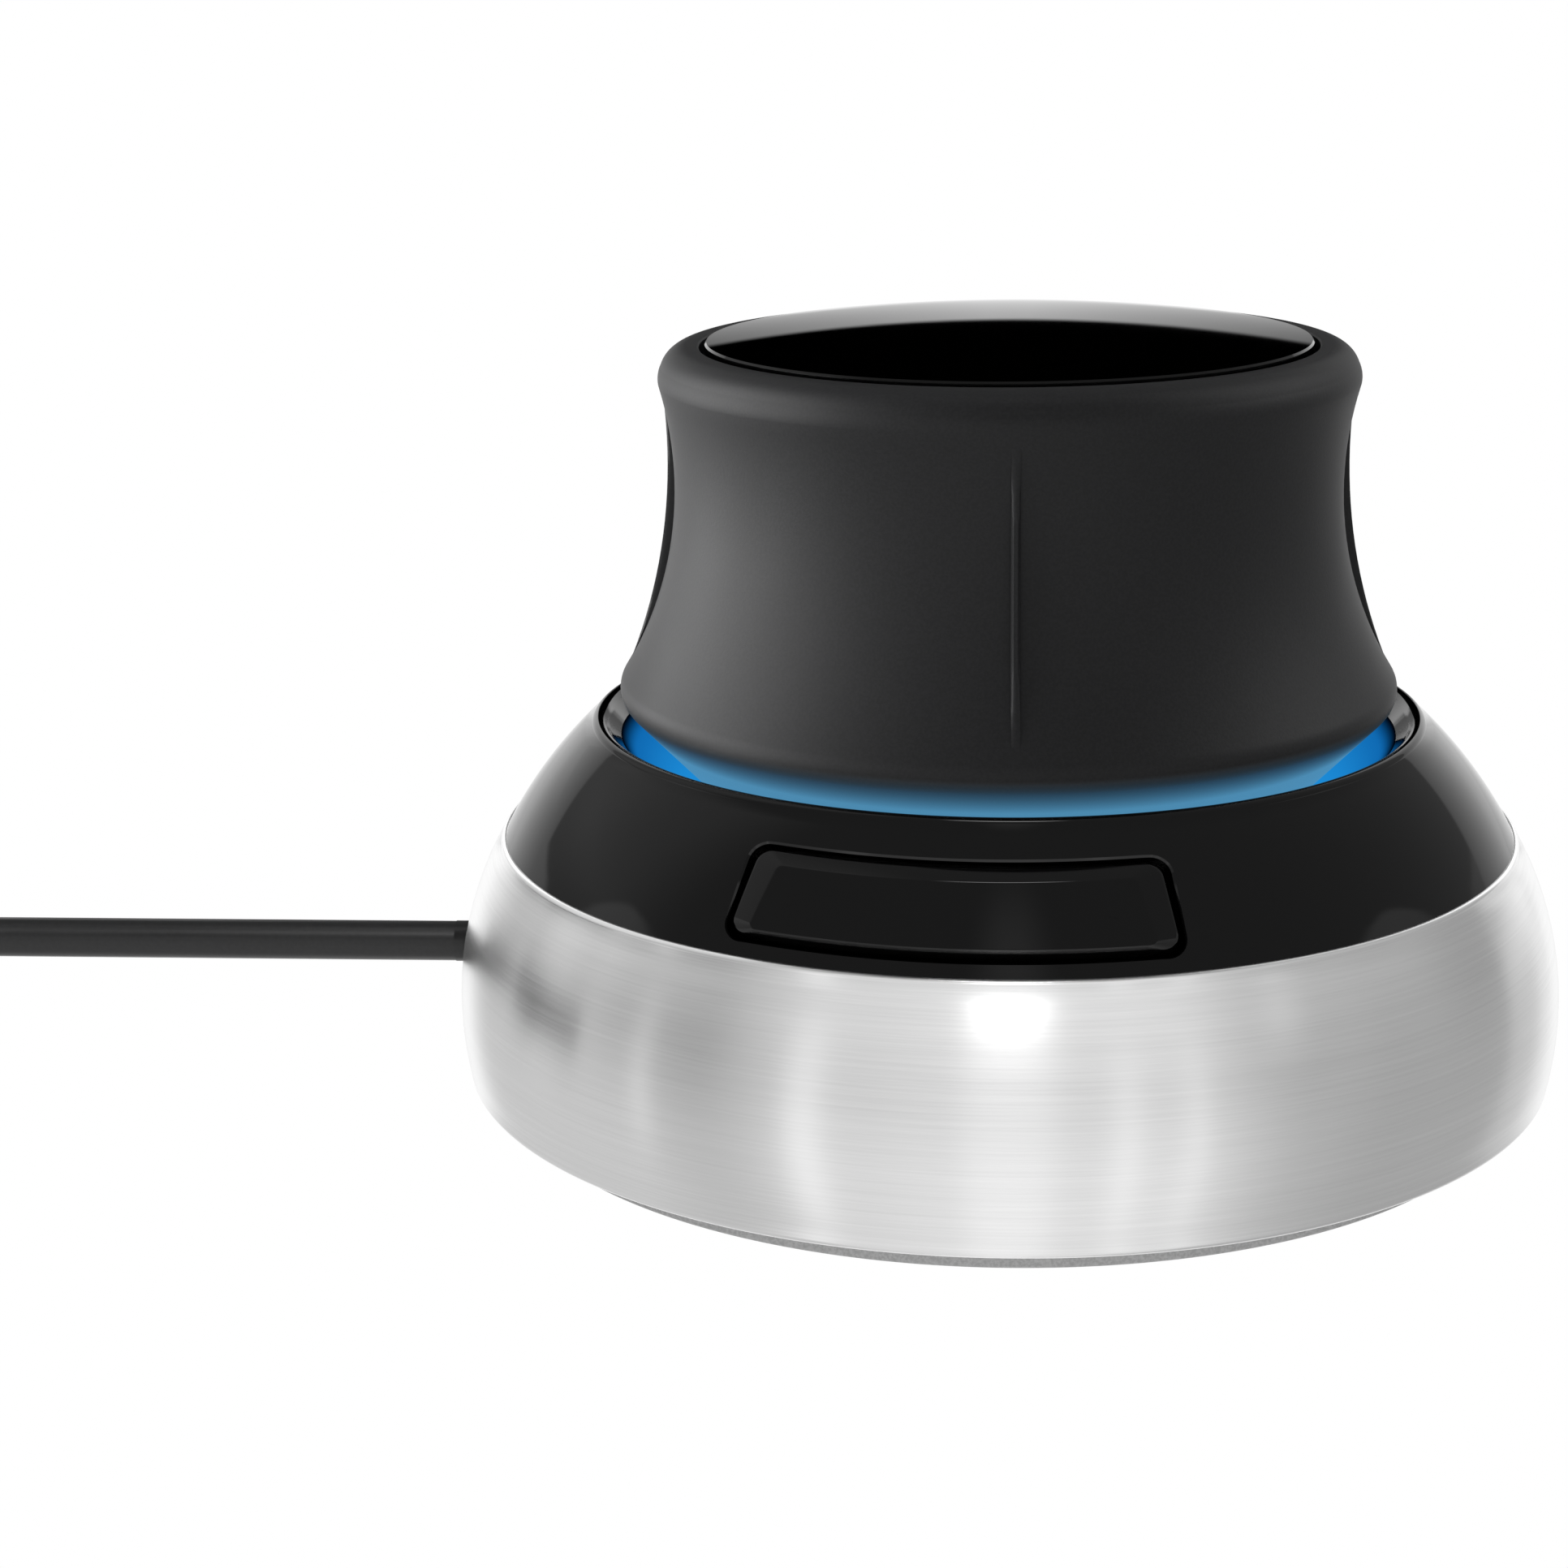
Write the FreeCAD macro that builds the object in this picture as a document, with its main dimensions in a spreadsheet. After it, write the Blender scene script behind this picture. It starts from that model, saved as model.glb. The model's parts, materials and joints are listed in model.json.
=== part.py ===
"""A three-dimensional mouse: a heavy round base and a sprung knob that moves six ways.

Millimetres, +Z up, origin at the centre of the face that the mouse stands on. The
cable leaves towards -X, and the left button faces -Y.
"""
import FreeCAD, Part
import Sketcher
import math
import os

Vector = FreeCAD.Vector
LEFT = 1
RIGHT = -1

SIZES = {
    # base: shell, plates, weight and boards
    "total_height": 54.0,
    "shell_curve": 22.5,
    "belly_height": 6.8,
    "shell_foot": 1.7,
    "shell_edge": 0.3,
    "shell_wall": 4.5,
    "seam_height": 18.6,
    "foot_thickness": 1.0,
    "foot_width": 6.9,
    "plate_step": 3.1,
    "plate_thickness": 1.5,
    "plate_play": 0.2,
    "slip": 0.3,
    "fit_gap": 0.05,
    "screw_offset": 2.7,
    "screw_hole_radius": 1.7,
    "screw_shank_radius": 1.4,
    "screw_head_radius": 2.8,
    "screw_head_height": 0.9,
    "screw_reach": 3.2,
    "core_step": 0.6,
    "ballast_drop": 6.6,
    "frame_thickness": 1.4,
    "frame_play": 1.0,
    "board_play": 3.0,
    "board_thickness": 1.4,
    "post_width": 7.0,
    "chip_width": 7.0,
    "chip_height": 1.0,
    # black cover with its funnel and hub
    "cover_curve": 30.0,
    "cover_wall": 1.8,
    "cover_rise": 7.85,
    "cover_run": 6.2,
    "lip_gap": 2.04,
    "lip_rise": 0.25,
    "lip_width": 0.9,
    "lip_round": 0.6,
    "lip_depth": 2.3,
    "funnel_gap": 0.7,
    "funnel_step": 1.2,
    "funnel_wall": 1.4,
    "well_depth": 7.35,
    "floor_thickness": 1.2,
    "hub_play": 3.5,
    "hub_wall": 1.4,
    "hub_rise": 2.4,
    "spigot_wall": 1.8,
    "spigot_length": 3.0,
    "boss_radius": 2.4,
    "boss_rise": 1.3,
    "window_inset": 2.2,
    "window_radius": 1.3,
    "light_ring_width": 3.9,
    "light_ring_height": 1.3,
    "lamp_length": 3.0,
    "lamp_width": 2.4,
    "lamp_height": 1.2,
    "lamp_margin": 0.4,
    # side buttons
    "button_turn_angle": 5.8,
    "button_top_half": 12.8,
    "button_low_half": 14.4,
    "button_top_margin": 1.75,
    "button_low_margin": 0.9,
    "button_gap": 0.45,
    "button_corner": 1.2,
    "button_proud": 0.35,
    "button_wall": 1.8,
    "opening_depth": 5.0,
    "opening_reach": 5.0,
    "pusher_radius": 1.3,
    "pusher_depth": 3.6,
    "plunger_radius": 1.0,
    "plunger_length": 1.6,
    "switch_width": 6.0,
    "switch_play": 0.9,
    "switch_height": 3.4,
    "switch_hole_radius": 1.25,
    "switch_hole_depth": 1.6,
    # sensor under the knob
    "sensor_board_play": 0.5,
    "sensor_board_thickness": 1.2,
    "pillar_radius": 1.8,
    "pillar_height": 2.0,
    "pillar_inset": 6.9,
    "pin_hole_radius": 0.9,
    "pin_shank_radius": 0.8,
    "pin_head_radius": 1.4,
    "pin_head_height": 0.5,
    "emitter_radius": 4.6,
    "emitter_height": 3.3,
    "emitter_wall": 2.5,
    "detector_gap": 2.2,
    "detector_depth": 0.8,
    "detector_width": 3.0,
    "detector_height": 3.8,
    "spring_radius": 2.0,
    "spring_wire": 0.6,
    "moving_drop": 3.8,
    "moving_plate_play": 3.0,
    "moving_plate_thickness": 1.4,
    "slit_ring_inset": 1.0,
    "slit_ring_wall": 0.8,
    "slit_ring_play": 1.9,
    "slit_width": 0.6,
    "slit_margin": 1.2,
    "slit_foot_margin": 0.9,
    "stop_collar_play": 0.4,
    "stop_collar_wall": 2.6,
    "stop_collar_height": 1.3,
    "buffer_wall": 1.8,
    "buffer_height": 4.0,
    # knob
    "stem_radius": 6.5,
    "stem_wall": 2.5,
    "stem_cap": 3.5,
    "flange_width": 1.5,
    "flange_thickness": 1.2,
    "stem_screw_reach": 3.9,
    "knob_radius": 26.75,
    "skirt_rise": 2.4,
    "skirt_round": 1.62,
    "cone_run": 5.23,
    "cone_height": 5.37,
    "waist_curve": 24.9,
    "grip_wall": 1.8,
    "bead_drop": 1.23,
    "bead_round": 1.9,
    "bead_inset": 0.18,
    "bead_rise": 1.19,
    "crown_round": 1.9,
    "rim_width": 0.92,
    "rim_rise": 1.05,
    "rim_overhang": 2.79,
    "core_wall": 1.6,
    "core_plate": 1.6,
    "core_rib": 1.2,
    "core_rib_margin": 3.74,
    "rib_width": 0.57,
    "rib_margin": 0.9,
    "rib_curve": 37.6,
    "rib_turn_angle": 1.4,
    "disc_radius": 20.5,
    "disc_gap": 0.4,
    "disc_height": 3.0,
    "disc_edge": 1.38,
    "disc_bevel": 0.12,
    "disc_bevel_rise": 0.14,
    # cable
    "cable_drop": 2.7,
    "cable_radius": 1.425,
    "grommet_wall": 0.85,
    "grommet_inset": 0.25,
    "grommet_reach": 0.7,
    "clamp_inset": 2.5,
    "clamp_length": 4.0,
    "clamp_width": 5.0,
    "connector_gap": 3.5,
    "connector_length": 4.5,
    "connector_width": 4.4,
    "notch_play": 0.5,
    "cable_bend": 83.0,
    "cable_landing": 102.0,
    "coil_start": 121.0,
    "coil_shift": 19.0,
    "coil_radius": 24.17,
    "coil_pitch": 3.8,
    "tie_thickness": 0.4,
    "tie_width": 6.0,
    "plug_gap": 7.0,
    "plug_width": 15.5,
    "plug_height": 7.5,
    "plug_length": 22.0,
    "plug_round": 2.0,
    "plug_shell_width": 12.0,
    "plug_shell_height": 4.5,
    "plug_shell_length": 12.0,
    "plug_shell_wall": 0.3,
    "plug_tongue_height": 1.9,
}
SCREWS = 3
LAMPS = 6
SLITS = 6
GRIP_RIBS = 4
CORE_RIBS = 6
SPRING_TURNS = 3
CHIP_ANGLE = math.radians(50.0)
SKIRT_END_ANGLE = math.radians(32.0)
THIRD = 120.0
HALF_THIRD = 60.0

document = FreeCAD.newDocument("KnobMouse")
sheet = document.addObject("Spreadsheet::Sheet", "Sizes")
for row, (name, value) in enumerate(SIZES.items(), start=1):
    sheet.set(f"A{row}", name)
    sheet.set(f"B{row}", str(value))
    sheet.setAlias(f"B{row}", name)
document.recompute()
worked_out = {}


class Size:
    """A length worked out from the sheet: its value now and the formula that keeps it."""

    def __init__(self, value, text):
        self.value = value
        self.text = text

    def __add__(self, other):
        other = measure(other)
        return Size(self.value + other.value, f"({self.text} + {other.text})")

    def __sub__(self, other):
        other = measure(other)
        return Size(self.value - other.value, f"({self.text} - {other.text})")

    def __mul__(self, other):
        other = measure(other)
        return Size(self.value * other.value, f"({self.text} * {other.text})")

    def __truediv__(self, other):
        other = measure(other)
        return Size(self.value / other.value, f"({self.text} / {other.text})")

    def __neg__(self):
        return Size(-self.value, f"(-1 * {self.text})")

    __radd__ = __add__
    __rmul__ = __mul__


def measure(item):
    """Turn a name in the sheet, a bare number or a Size into a Size."""
    if isinstance(item, Size):
        return item
    if isinstance(item, str):
        return Size(value(item), f"Sizes.{item}")
    return Size(float(item), f"{float(item):.9g}")


def value(name):
    """A size as the sheet has it now."""
    return worked_out[name] if name in worked_out else float(sheet.get(name))


def derive(name, size):
    """Add a size that follows from others to the sheet, under its own name."""
    row = len(SIZES) + len(worked_out) + 1
    sheet.set(f"A{row}", name)
    sheet.set(f"B{row}", "=" + size.text.replace("Sizes.", ""))
    sheet.setAlias(f"B{row}", name)
    worked_out[name] = size.value
    return measure(name)


def root(item):
    """The square root of a Size."""
    return Size(math.sqrt(item.value), f"sqrt({item.text})")


def bind(item, prop, size):
    """Set a property to a Size and tie it to the sheet."""
    item.setExpression(prop, measure(size).text)


def origin_part(body, role):
    """One of a body's own origin planes or axes."""
    return [part for part in body.Origin.OriginFeatures if part.Role == role][0]


def new_body(label):
    body = document.addObject("PartDesign::Body", label)
    body.Label = label
    body.AllowCompound = True
    return body


def new_sketch(body, plane, name, turn=None, lift=None):
    """A sketch on an origin plane; XZ and YZ sketches can be turned about +Z, XY ones too."""
    sketch = body.newObject("Sketcher::SketchObject", f"{body.Name}_{name}")
    sketch.AttachmentSupport = [(origin_part(body, plane), "")]
    sketch.MapMode = "FlatFace"
    if turn is not None:
        axis = Vector(0, 0, 1) if plane == "XY_Plane" else Vector(0, 1, 0)
        sketch.AttachmentOffset = FreeCAD.Placement(Vector(), FreeCAD.Rotation(axis, 1.0))
        bind(sketch, ".AttachmentOffset.Rotation.Angle", turn)
    if lift is not None:
        bind(sketch, ".AttachmentOffset.Base.z", lift)
    return sketch


def fix(sketch, kind, index, corner, size):
    """Hold one end of an edge at a distance from the sketch's origin."""
    size = measure(size)
    number = sketch.addConstraint(Sketcher.Constraint(kind, -1, 1, index, corner, size.value))
    sketch.setExpression(f"Constraints[{number}]", size.text)


def arc_between(start, end, radius, turn):
    """The shorter arc from one corner to the next, turning left or right on its way."""
    middle = (start + end) / 2
    chord = end - start
    height = math.sqrt(max(radius ** 2 - (chord.Length / 2) ** 2, 0.0))
    across = Vector(-chord.y, chord.x, 0).normalize()
    centre = middle + across * height * turn
    first, last = (start, end) if turn == LEFT else (end, start)
    low = math.atan2(first.y - centre.y, first.x - centre.x)
    high = math.atan2(last.y - centre.y, last.x - centre.x)
    if high < low:
        high += 2 * math.pi
    return Part.ArcOfCircle(Part.Circle(centre, Vector(0, 0, 1), radius), low, high)


def outline(sketch, corners):
    """Close an outline through corners (x, y) or (x, y, radius, turn), the arc leading on."""
    corners = [tuple(measure(item) if place != 3 else item for place, item in enumerate(corner))
               for corner in corners]
    points = [Vector(corner[0].value, corner[1].value, 0) for corner in corners]
    ends = []
    for index, corner in enumerate(corners):
        start = points[index]
        end = points[(index + 1) % len(points)]
        if len(corner) == 2:
            sketch.addGeometry(Part.LineSegment(start, end))
            ends.append((1, 2))
        else:
            sketch.addGeometry(arc_between(start, end, corner[2].value, corner[3]))
            ends.append((1, 2) if corner[3] == LEFT else (2, 1))
    for index in range(len(corners)):
        after = (index + 1) % len(corners)
        joint = Sketcher.Constraint("Coincident", index, ends[index][1], after, ends[after][0])
        sketch.addConstraint(joint)
    for index, corner in enumerate(corners):
        fix(sketch, "DistanceX", index, ends[index][0], corner[0])
        fix(sketch, "DistanceY", index, ends[index][0], corner[1])
        if len(corner) == 4:
            radius = Sketcher.Constraint("Radius", index, corner[2].value)
            number = sketch.addConstraint(radius)
            sketch.setExpression(f"Constraints[{number}]", corner[2].text)
    return sketch


def circle(sketch, x, y, radius):
    """Add a round hole or boss to a sketch."""
    x, y, radius = measure(x), measure(y), measure(radius)
    round_edge = Part.Circle(Vector(x.value, y.value, 0), Vector(0, 0, 1), radius.value)
    index = sketch.addGeometry(round_edge)
    fix(sketch, "DistanceX", index, 3, x)
    fix(sketch, "DistanceY", index, 3, y)
    number = sketch.addConstraint(Sketcher.Constraint("Radius", index, radius.value))
    sketch.setExpression(f"Constraints[{number}]", radius.text)
    return sketch


def own_axis(sketch, distance):
    """An upright construction line at a distance from the centre, to turn a profile about."""
    distance = measure(distance)
    line = Part.LineSegment(Vector(distance.value, -1, 0), Vector(distance.value, 1, 0))
    index = sketch.addGeometry(line, True)
    fix(sketch, "DistanceX", index, 1, distance)
    fix(sketch, "DistanceX", index, 2, distance)
    fix(sketch, "DistanceY", index, 1, -1)
    fix(sketch, "DistanceY", index, 2, 1)


def revolve(body, sketch, kind="Revolution", axis="V_Axis"):
    """Turn a sketch all the way round, to add or to cut."""
    feature = body.newObject(f"PartDesign::{kind}", f"{sketch.Name}_{kind.lower()}")
    feature.Profile = sketch
    feature.ReferenceAxis = (sketch, [axis])
    feature.Angle = 360.0
    body.Tip = feature
    return feature


def pad(body, sketch, length, both_ways=False, kind="Pad", reverse=False):
    """Raise or sink a sketch by a length."""
    feature = body.newObject(f"PartDesign::{kind}", f"{sketch.Name}_{kind.lower()}")
    feature.Profile = sketch
    bind(feature, "Length", length)
    feature.Midplane = both_ways
    feature.Reversed = reverse
    body.Tip = feature
    return feature


def repeat(body, features, count):
    """Copy features evenly round the upright axis."""
    pattern = body.newObject("PartDesign::PolarPattern", f"{features[0].Name}_pattern")
    pattern.Originals = features
    pattern.Axis = (origin_part(body, "Z_Axis"), [""])
    pattern.Angle = 360.0
    pattern.Occurrences = count
    body.Tip = pattern
    return pattern


def turned(label, corners):
    """A body turned about the upright axis from its half section."""
    body = new_body(label)
    revolve(body, outline(new_sketch(body, "XZ_Plane", "section"), corners))
    return body


def turned_round(body, name, distance, corners, kind="Revolution", turn=None):
    """A turned feature about an upright line away from the centre; corners start at the line."""
    distance = measure(distance)
    sketch = new_sketch(body, "XZ_Plane", name, turn=turn)
    moved = [(distance + corner[0],) + tuple(corner[1:]) for corner in corners]
    outline(sketch, moved)
    own_axis(sketch, distance)
    return revolve(body, sketch, kind, "Axis0")


def drill(body, name, distance, radius, low, high, count, turn=None):
    """Round holes, evenly spaced on a circle."""
    section = [(0, low), (radius, low), (radius, high), (0, high)]
    hole = turned_round(body, name, distance, section, kind="Groove", turn=turn)
    return repeat(body, [hole], count)


def curve_radius(axis, centre, radius, height):
    """Distance from the centre line to an arc that bulges outwards, at a height."""
    rise = measure(height) - centre
    radius = measure(radius)
    return measure(axis) + root(radius * radius - rise * rise)


def shell_at(height):
    """Radius of the metal shell's outside at a height."""
    axis = measure("shell_radius") - "shell_curve"
    return curve_radius(axis, "belly_height", "shell_curve", height)


def cover_at(height, inset=0.0):
    """Radius of the black cover's cone at a height, or of a curve inset from it."""
    return curve_radius("cover_axis", "cover_centre", measure("cover_curve") - inset, height)


def waist_at(height, inset=0.0):
    """Radius of the knob's waist at a height, or of a curve inset from it."""
    rise = measure(height) - "waist_centre"
    curve = measure("waist_curve") + inset
    return measure("waist_axis") - root(curve * curve - rise * rise)


def skirt_corner(name, inset):
    """Where the knob's lower cone and waist meet, both inset by the same wall."""
    across = measure("waist_axis") - (measure("knob_foot_radius") - measure(inset) * "cone_rise_share")
    up = measure("waist_centre") - (measure("knob_foot") + measure(inset) * "cone_run_share")
    curve = measure("waist_curve") + inset
    along = derive(f"{name}_along", across * "cone_run_share" + up * "cone_rise_share")
    reach = derive(f"{name}_reach", along - root(along * along - across * across - up * up + curve * curve))
    radius = measure("knob_foot_radius") - measure(inset) * "cone_rise_share" + reach * "cone_run_share"
    height = measure("knob_foot") + measure(inset) * "cone_run_share" + reach * "cone_rise_share"
    return derive(f"{name}_radius", radius), derive(f"{name}_height", height)


def skirt_foot(inset):
    """The knob's lower edge, inset square to its cone."""
    inset = measure(inset)
    return (measure("knob_foot_radius") - inset * "cone_rise_share",
            measure("knob_foot") + inset * "cone_run_share")


def arc_centre(name, low_radius, low, high_radius, high, curve, turn):
    """Centre of an arc between two heights on a half section, to the left or right on its way up."""
    across = measure(high_radius) - low_radius
    up = measure(high) - low
    chord = derive(f"{name}_chord", root(across * across + up * up))
    curve = measure(curve)
    share = derive(f"{name}_share", root(curve * curve - chord * chord / 4) / chord)
    axis = (measure(low_radius) + high_radius) / 2 - share * up * turn
    centre = (measure(low) + high) / 2 + share * across * turn
    derive(f"{name}_axis", axis)
    derive(f"{name}_centre", centre)


def derive_knob():
    """The knob's outline: cone, rounded skirt, waist and rim."""
    derive("lip_height", measure("seam_height") + "cover_rise")
    derive("core_top", measure("total_height") - "disc_height")
    derive("rim_bore", measure("disc_radius") + "disc_gap")
    derive("rim_radius", measure("rim_bore") + "rim_width")
    derive("rim_height", measure("core_top") + "rim_rise")
    derive("bead_foot", measure("core_top") - "bead_drop")
    derive("bead_foot_radius", measure("rim_bore") + "rim_overhang")
    derive("bead_radius", measure("bead_foot_radius") - "bead_inset")
    derive("bead_height", measure("bead_foot") + "bead_rise")
    skirt_axis = measure("knob_radius") - "skirt_round"
    skirt_centre = measure("lip_height") + "skirt_rise"
    diagonal = root(Size(0.5, "0.5"))
    derive("skirt_low_radius", skirt_axis + measure("skirt_round") * diagonal)
    derive("skirt_low", skirt_centre - measure("skirt_round") * diagonal)
    derive("skirt_high_radius", skirt_axis + measure("skirt_round") * math.cos(SKIRT_END_ANGLE))
    derive("skirt_high", skirt_centre + measure("skirt_round") * math.sin(SKIRT_END_ANGLE))
    derive("knob_foot_radius", measure("skirt_low_radius") - "cone_run")
    derive("knob_foot", measure("skirt_low") - "cone_height")
    derive("funnel_foot", measure("knob_foot_radius") + "funnel_gap")
    run, height = measure("cone_run"), measure("cone_height")
    cone = derive("cone_length", root(run * run + height * height))
    derive("cone_run_share", run / cone)
    derive("cone_rise_share", height / cone)
    arc_centre("waist", "skirt_high_radius", "skirt_high", "bead_foot_radius", "bead_foot", "waist_curve",
               RIGHT)
    derive("rib_foot", measure("skirt_high") + "rib_margin")
    derive("rib_top", measure("bead_foot") - "rib_margin")
    derive("core_plate_low", measure("core_top") - "core_plate")
    derive("core_rib_foot", measure("skirt_high") + "core_rib_margin")
    derive("stem_bore", measure("stem_radius") - "stem_wall")
    derive("stem_bore_top", measure("core_top") - "stem_cap")
    derive("flange_radius", measure("stem_radius") + "flange_width")


def derive_base():
    """Radii and heights in the base that follow from its shell, which meets the cover's foot."""
    edge = measure("seam_height") - "shell_edge"
    derive("lip_radius", measure("knob_radius") + "lip_gap")
    derive("cover_foot_radius", measure("lip_radius") + "cover_run")
    derive("seam_radius", measure("cover_foot_radius") + "fit_gap")
    curve, rise = measure("shell_curve"), edge - "belly_height"
    derive("shell_radius", measure("seam_radius") + "shell_edge" + curve - root(curve * curve - rise * rise))
    derive("shell_bore", measure("shell_radius") - "shell_wall")
    derive("plate_radius", measure("shell_radius") - "plate_step")
    derive("foot_inner", measure("plate_radius") - "foot_width")
    derive("plate_top", measure("foot_thickness") + "plate_thickness")
    derive("screw_circle", measure("funnel_foot") + "screw_offset")
    derive("screw_seat", measure("foot_thickness") + "screw_head_height")
    derive("ballast_top", measure("seam_height") - "ballast_drop")
    derive("frame_radius", measure("shell_bore") - "frame_play")
    derive("frame_top", measure("ballast_top") + "frame_thickness")
    derive("board_radius", measure("shell_bore") - "board_play")
    derive("board_top", measure("frame_top") + "board_thickness")
    derive("screw_top", measure("board_top") + "screw_reach")


def derive_cover():
    """The black cover: its cone between seam and lip, its funnel round the knob, and its floor."""
    arc_centre("cover", "cover_foot_radius", "seam_height", "lip_radius", "lip_height", "cover_curve", LEFT)
    derive("lip_inner", measure("lip_radius") - "lip_width")
    derive("lip_top", measure("lip_height") + "lip_rise")
    derive("floor_top", measure("lip_height") - "well_depth")
    derive("floor_low", measure("floor_top") - "floor_thickness")
    derive("funnel_low", measure("floor_top") + "funnel_step")
    run = measure("lip_inner") - "funnel_foot"
    rise = measure("lip_top") - "funnel_low"
    length = derive("funnel_length", root(run * run + rise * rise))
    derive("funnel_back_foot", measure("funnel_foot") + measure("funnel_wall") * rise / length)
    derive("funnel_back_low", measure("funnel_low") - measure("funnel_wall") * run / length)
    derive("pocket_top", measure("lip_height") - "lip_depth")
    pocket_depth = measure("pocket_top") - "funnel_back_low"
    derive("funnel_back_top", measure("funnel_back_foot") + pocket_depth * run / rise)
    derive("hub_bore", measure("stem_radius") + "hub_play")
    derive("hub_top", measure("floor_top") + "hub_rise")
    derive("boss_top", measure("floor_top") + "boss_rise")
    derive("light_ring_outer", measure("funnel_foot") - "slip")
    derive("light_ring_inner", measure("light_ring_outer") - "light_ring_width")
    derive("window_circle", measure("funnel_foot") - "window_inset")
    derive("spigot_foot", measure("seam_height") - "spigot_length")
    derive("buffer_foot", measure("floor_low") - "slip")


def slant_to(height):
    """How far up the button's tangent plane a height on the cone lies from its middle."""
    out = cover_at(height) - "button_radius"
    return (measure(height) - "button_height") * "button_side_share" - out * "button_rise_share"


def circle_sag(radius, half):
    """How deep a chord of a given half length cuts into a circle."""
    radius, half = measure(radius), measure(half)
    return radius - root(radius * radius - half * half)


def derive_buttons():
    """Where a button's middle lies on the cone, and how far its travel leans."""
    low = measure("seam_height") + "button_low_margin"
    high = measure("lip_height") - "button_top_margin"
    derive("button_height", (low + high) / 2)
    derive("button_radius", cover_at("button_height"))
    side = derive("button_side_share", (measure("button_radius") - "cover_axis") / "cover_curve")
    derive("button_rise_share", (measure("button_height") - "cover_centre") / "cover_curve")
    lean = Size(math.degrees(math.asin(side.value)), f"(asin({side.text}) / 1deg)")
    derive("button_tilt", lean)
    rise = derive("button_top_mid", slant_to(high))
    fall = derive("button_low_mid", -slant_to(low))
    derive("button_top_sag", circle_sag(cover_at(high), "button_top_half") * "button_rise_share")
    derive("button_low_sag", circle_sag(cover_at(low), "button_low_half") * "button_rise_share")
    limit = (rise + fall) / 3
    smaller = Size(min(value("button_corner"), limit.value), f"min(Sizes.button_corner; {limit.text})")
    derive("button_corner_radius", smaller)
    derive("plunger_depth", measure("pusher_depth") + "plunger_length")
    derive("switch_face", measure("pusher_depth") + "switch_play")


def derive_sensor():
    """The sensor's radii and heights, inside the weight's bore."""
    derive("board_bore", measure("window_circle") - measure("lamp_width") / 2 - "lamp_margin")
    derive("core_bore", measure("board_bore") - "core_step")
    derive("sensor_board_radius", measure("core_bore") - "sensor_board_play")
    derive("sensor_board_foot", measure("plate_top") + "pillar_height")
    derive("sensor_top", measure("sensor_board_foot") + "sensor_board_thickness")
    derive("moving_plate_radius", measure("core_bore") - "moving_plate_play")
    derive("moving_top", measure("floor_low") - "moving_drop")
    derive("moving_plate_foot", measure("moving_top") - "moving_plate_thickness")
    derive("spring_length", measure("moving_plate_foot") - "sensor_top")
    derive("slit_ring_radius", measure("moving_plate_radius") - "slit_ring_inset")
    derive("slit_ring_length", measure("spring_length") - "slit_ring_play")
    derive("slit_ring_foot", measure("moving_plate_foot") - "slit_ring_length")
    derive("slit_high", measure("moving_plate_foot") - "slit_margin")
    derive("slit_length", measure("slit_ring_length") - "slit_margin" - "slit_foot_margin")
    derive("pillar_circle_radius", measure("sensor_board_radius") - "pillar_inset")
    derive("spring_circle_radius", (measure("slit_ring_radius") - "slit_ring_wall" + "emitter_radius") / 2)
    derive("detector_inner", measure("slit_ring_radius") + "detector_gap")
    derive("flange_top", measure("moving_top") + "flange_thickness")
    derive("stem_screw_circle", (measure("stem_radius") + "stem_bore") / 2)
    derive("stem_screw_top", measure("moving_top") + "stem_screw_reach")
    derive("stop_collar_inner", measure("flange_radius") + "stop_collar_play")


def derive_cable():
    """Where the cable's fittings lie, measured from the shell."""
    derive("cable_height", measure("ballast_top") - "cable_drop")
    derive("grommet_radius", measure("cable_radius") + measure("fit_gap") / 2 + "grommet_wall")
    derive("grommet_inner_end", measure("shell_bore") - "grommet_inset")
    derive("grommet_outer_end", measure("shell_radius") + "grommet_reach")
    derive("clamp_far", measure("shell_bore") - "clamp_inset")
    derive("clamp_from", measure("clamp_far") - "clamp_length")
    derive("lead_end", measure("clamp_from") - "connector_gap")
    derive("lead_floor", measure("cable_height") - "cable_radius" - "fit_gap")


derive_knob()
derive_base()
derive_cover()
derive_buttons()
derive_sensor()
derive_cable()
document.recompute()
plate_top = measure("plate_top")
frame_top = measure("frame_top")
board_top = measure("board_top")
floor_low = measure("floor_low")
sensor_top = measure("sensor_top")
moving_top = measure("moving_top")
flange_top = measure("flange_top")
screw_seat = measure("screw_seat")


def metal_shell():
    """Spun metal shell: a rounded belly outside, a straight bore, and a hole for the cable."""
    edge = measure("seam_height") - "shell_edge"
    recess = measure("plate_radius") + "plate_play"
    body = turned("metal_shell", [
        (recess, "shell_foot"),
        (shell_at("shell_foot"), "shell_foot", "shell_curve", LEFT),
        (shell_at(edge), edge),
        (shell_at(edge) - "shell_edge", "seam_height"),
        ("shell_bore", "seam_height"),
        ("shell_bore", plate_top),
        (recess, plate_top),
    ])
    hole = new_sketch(body, "YZ_Plane", "cable_hole")
    circle(hole, 0, "cable_height", measure("grommet_radius") + "fit_gap")
    pad(body, hole, measure("shell_radius") + 5, kind="Pocket")
    return body


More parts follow.
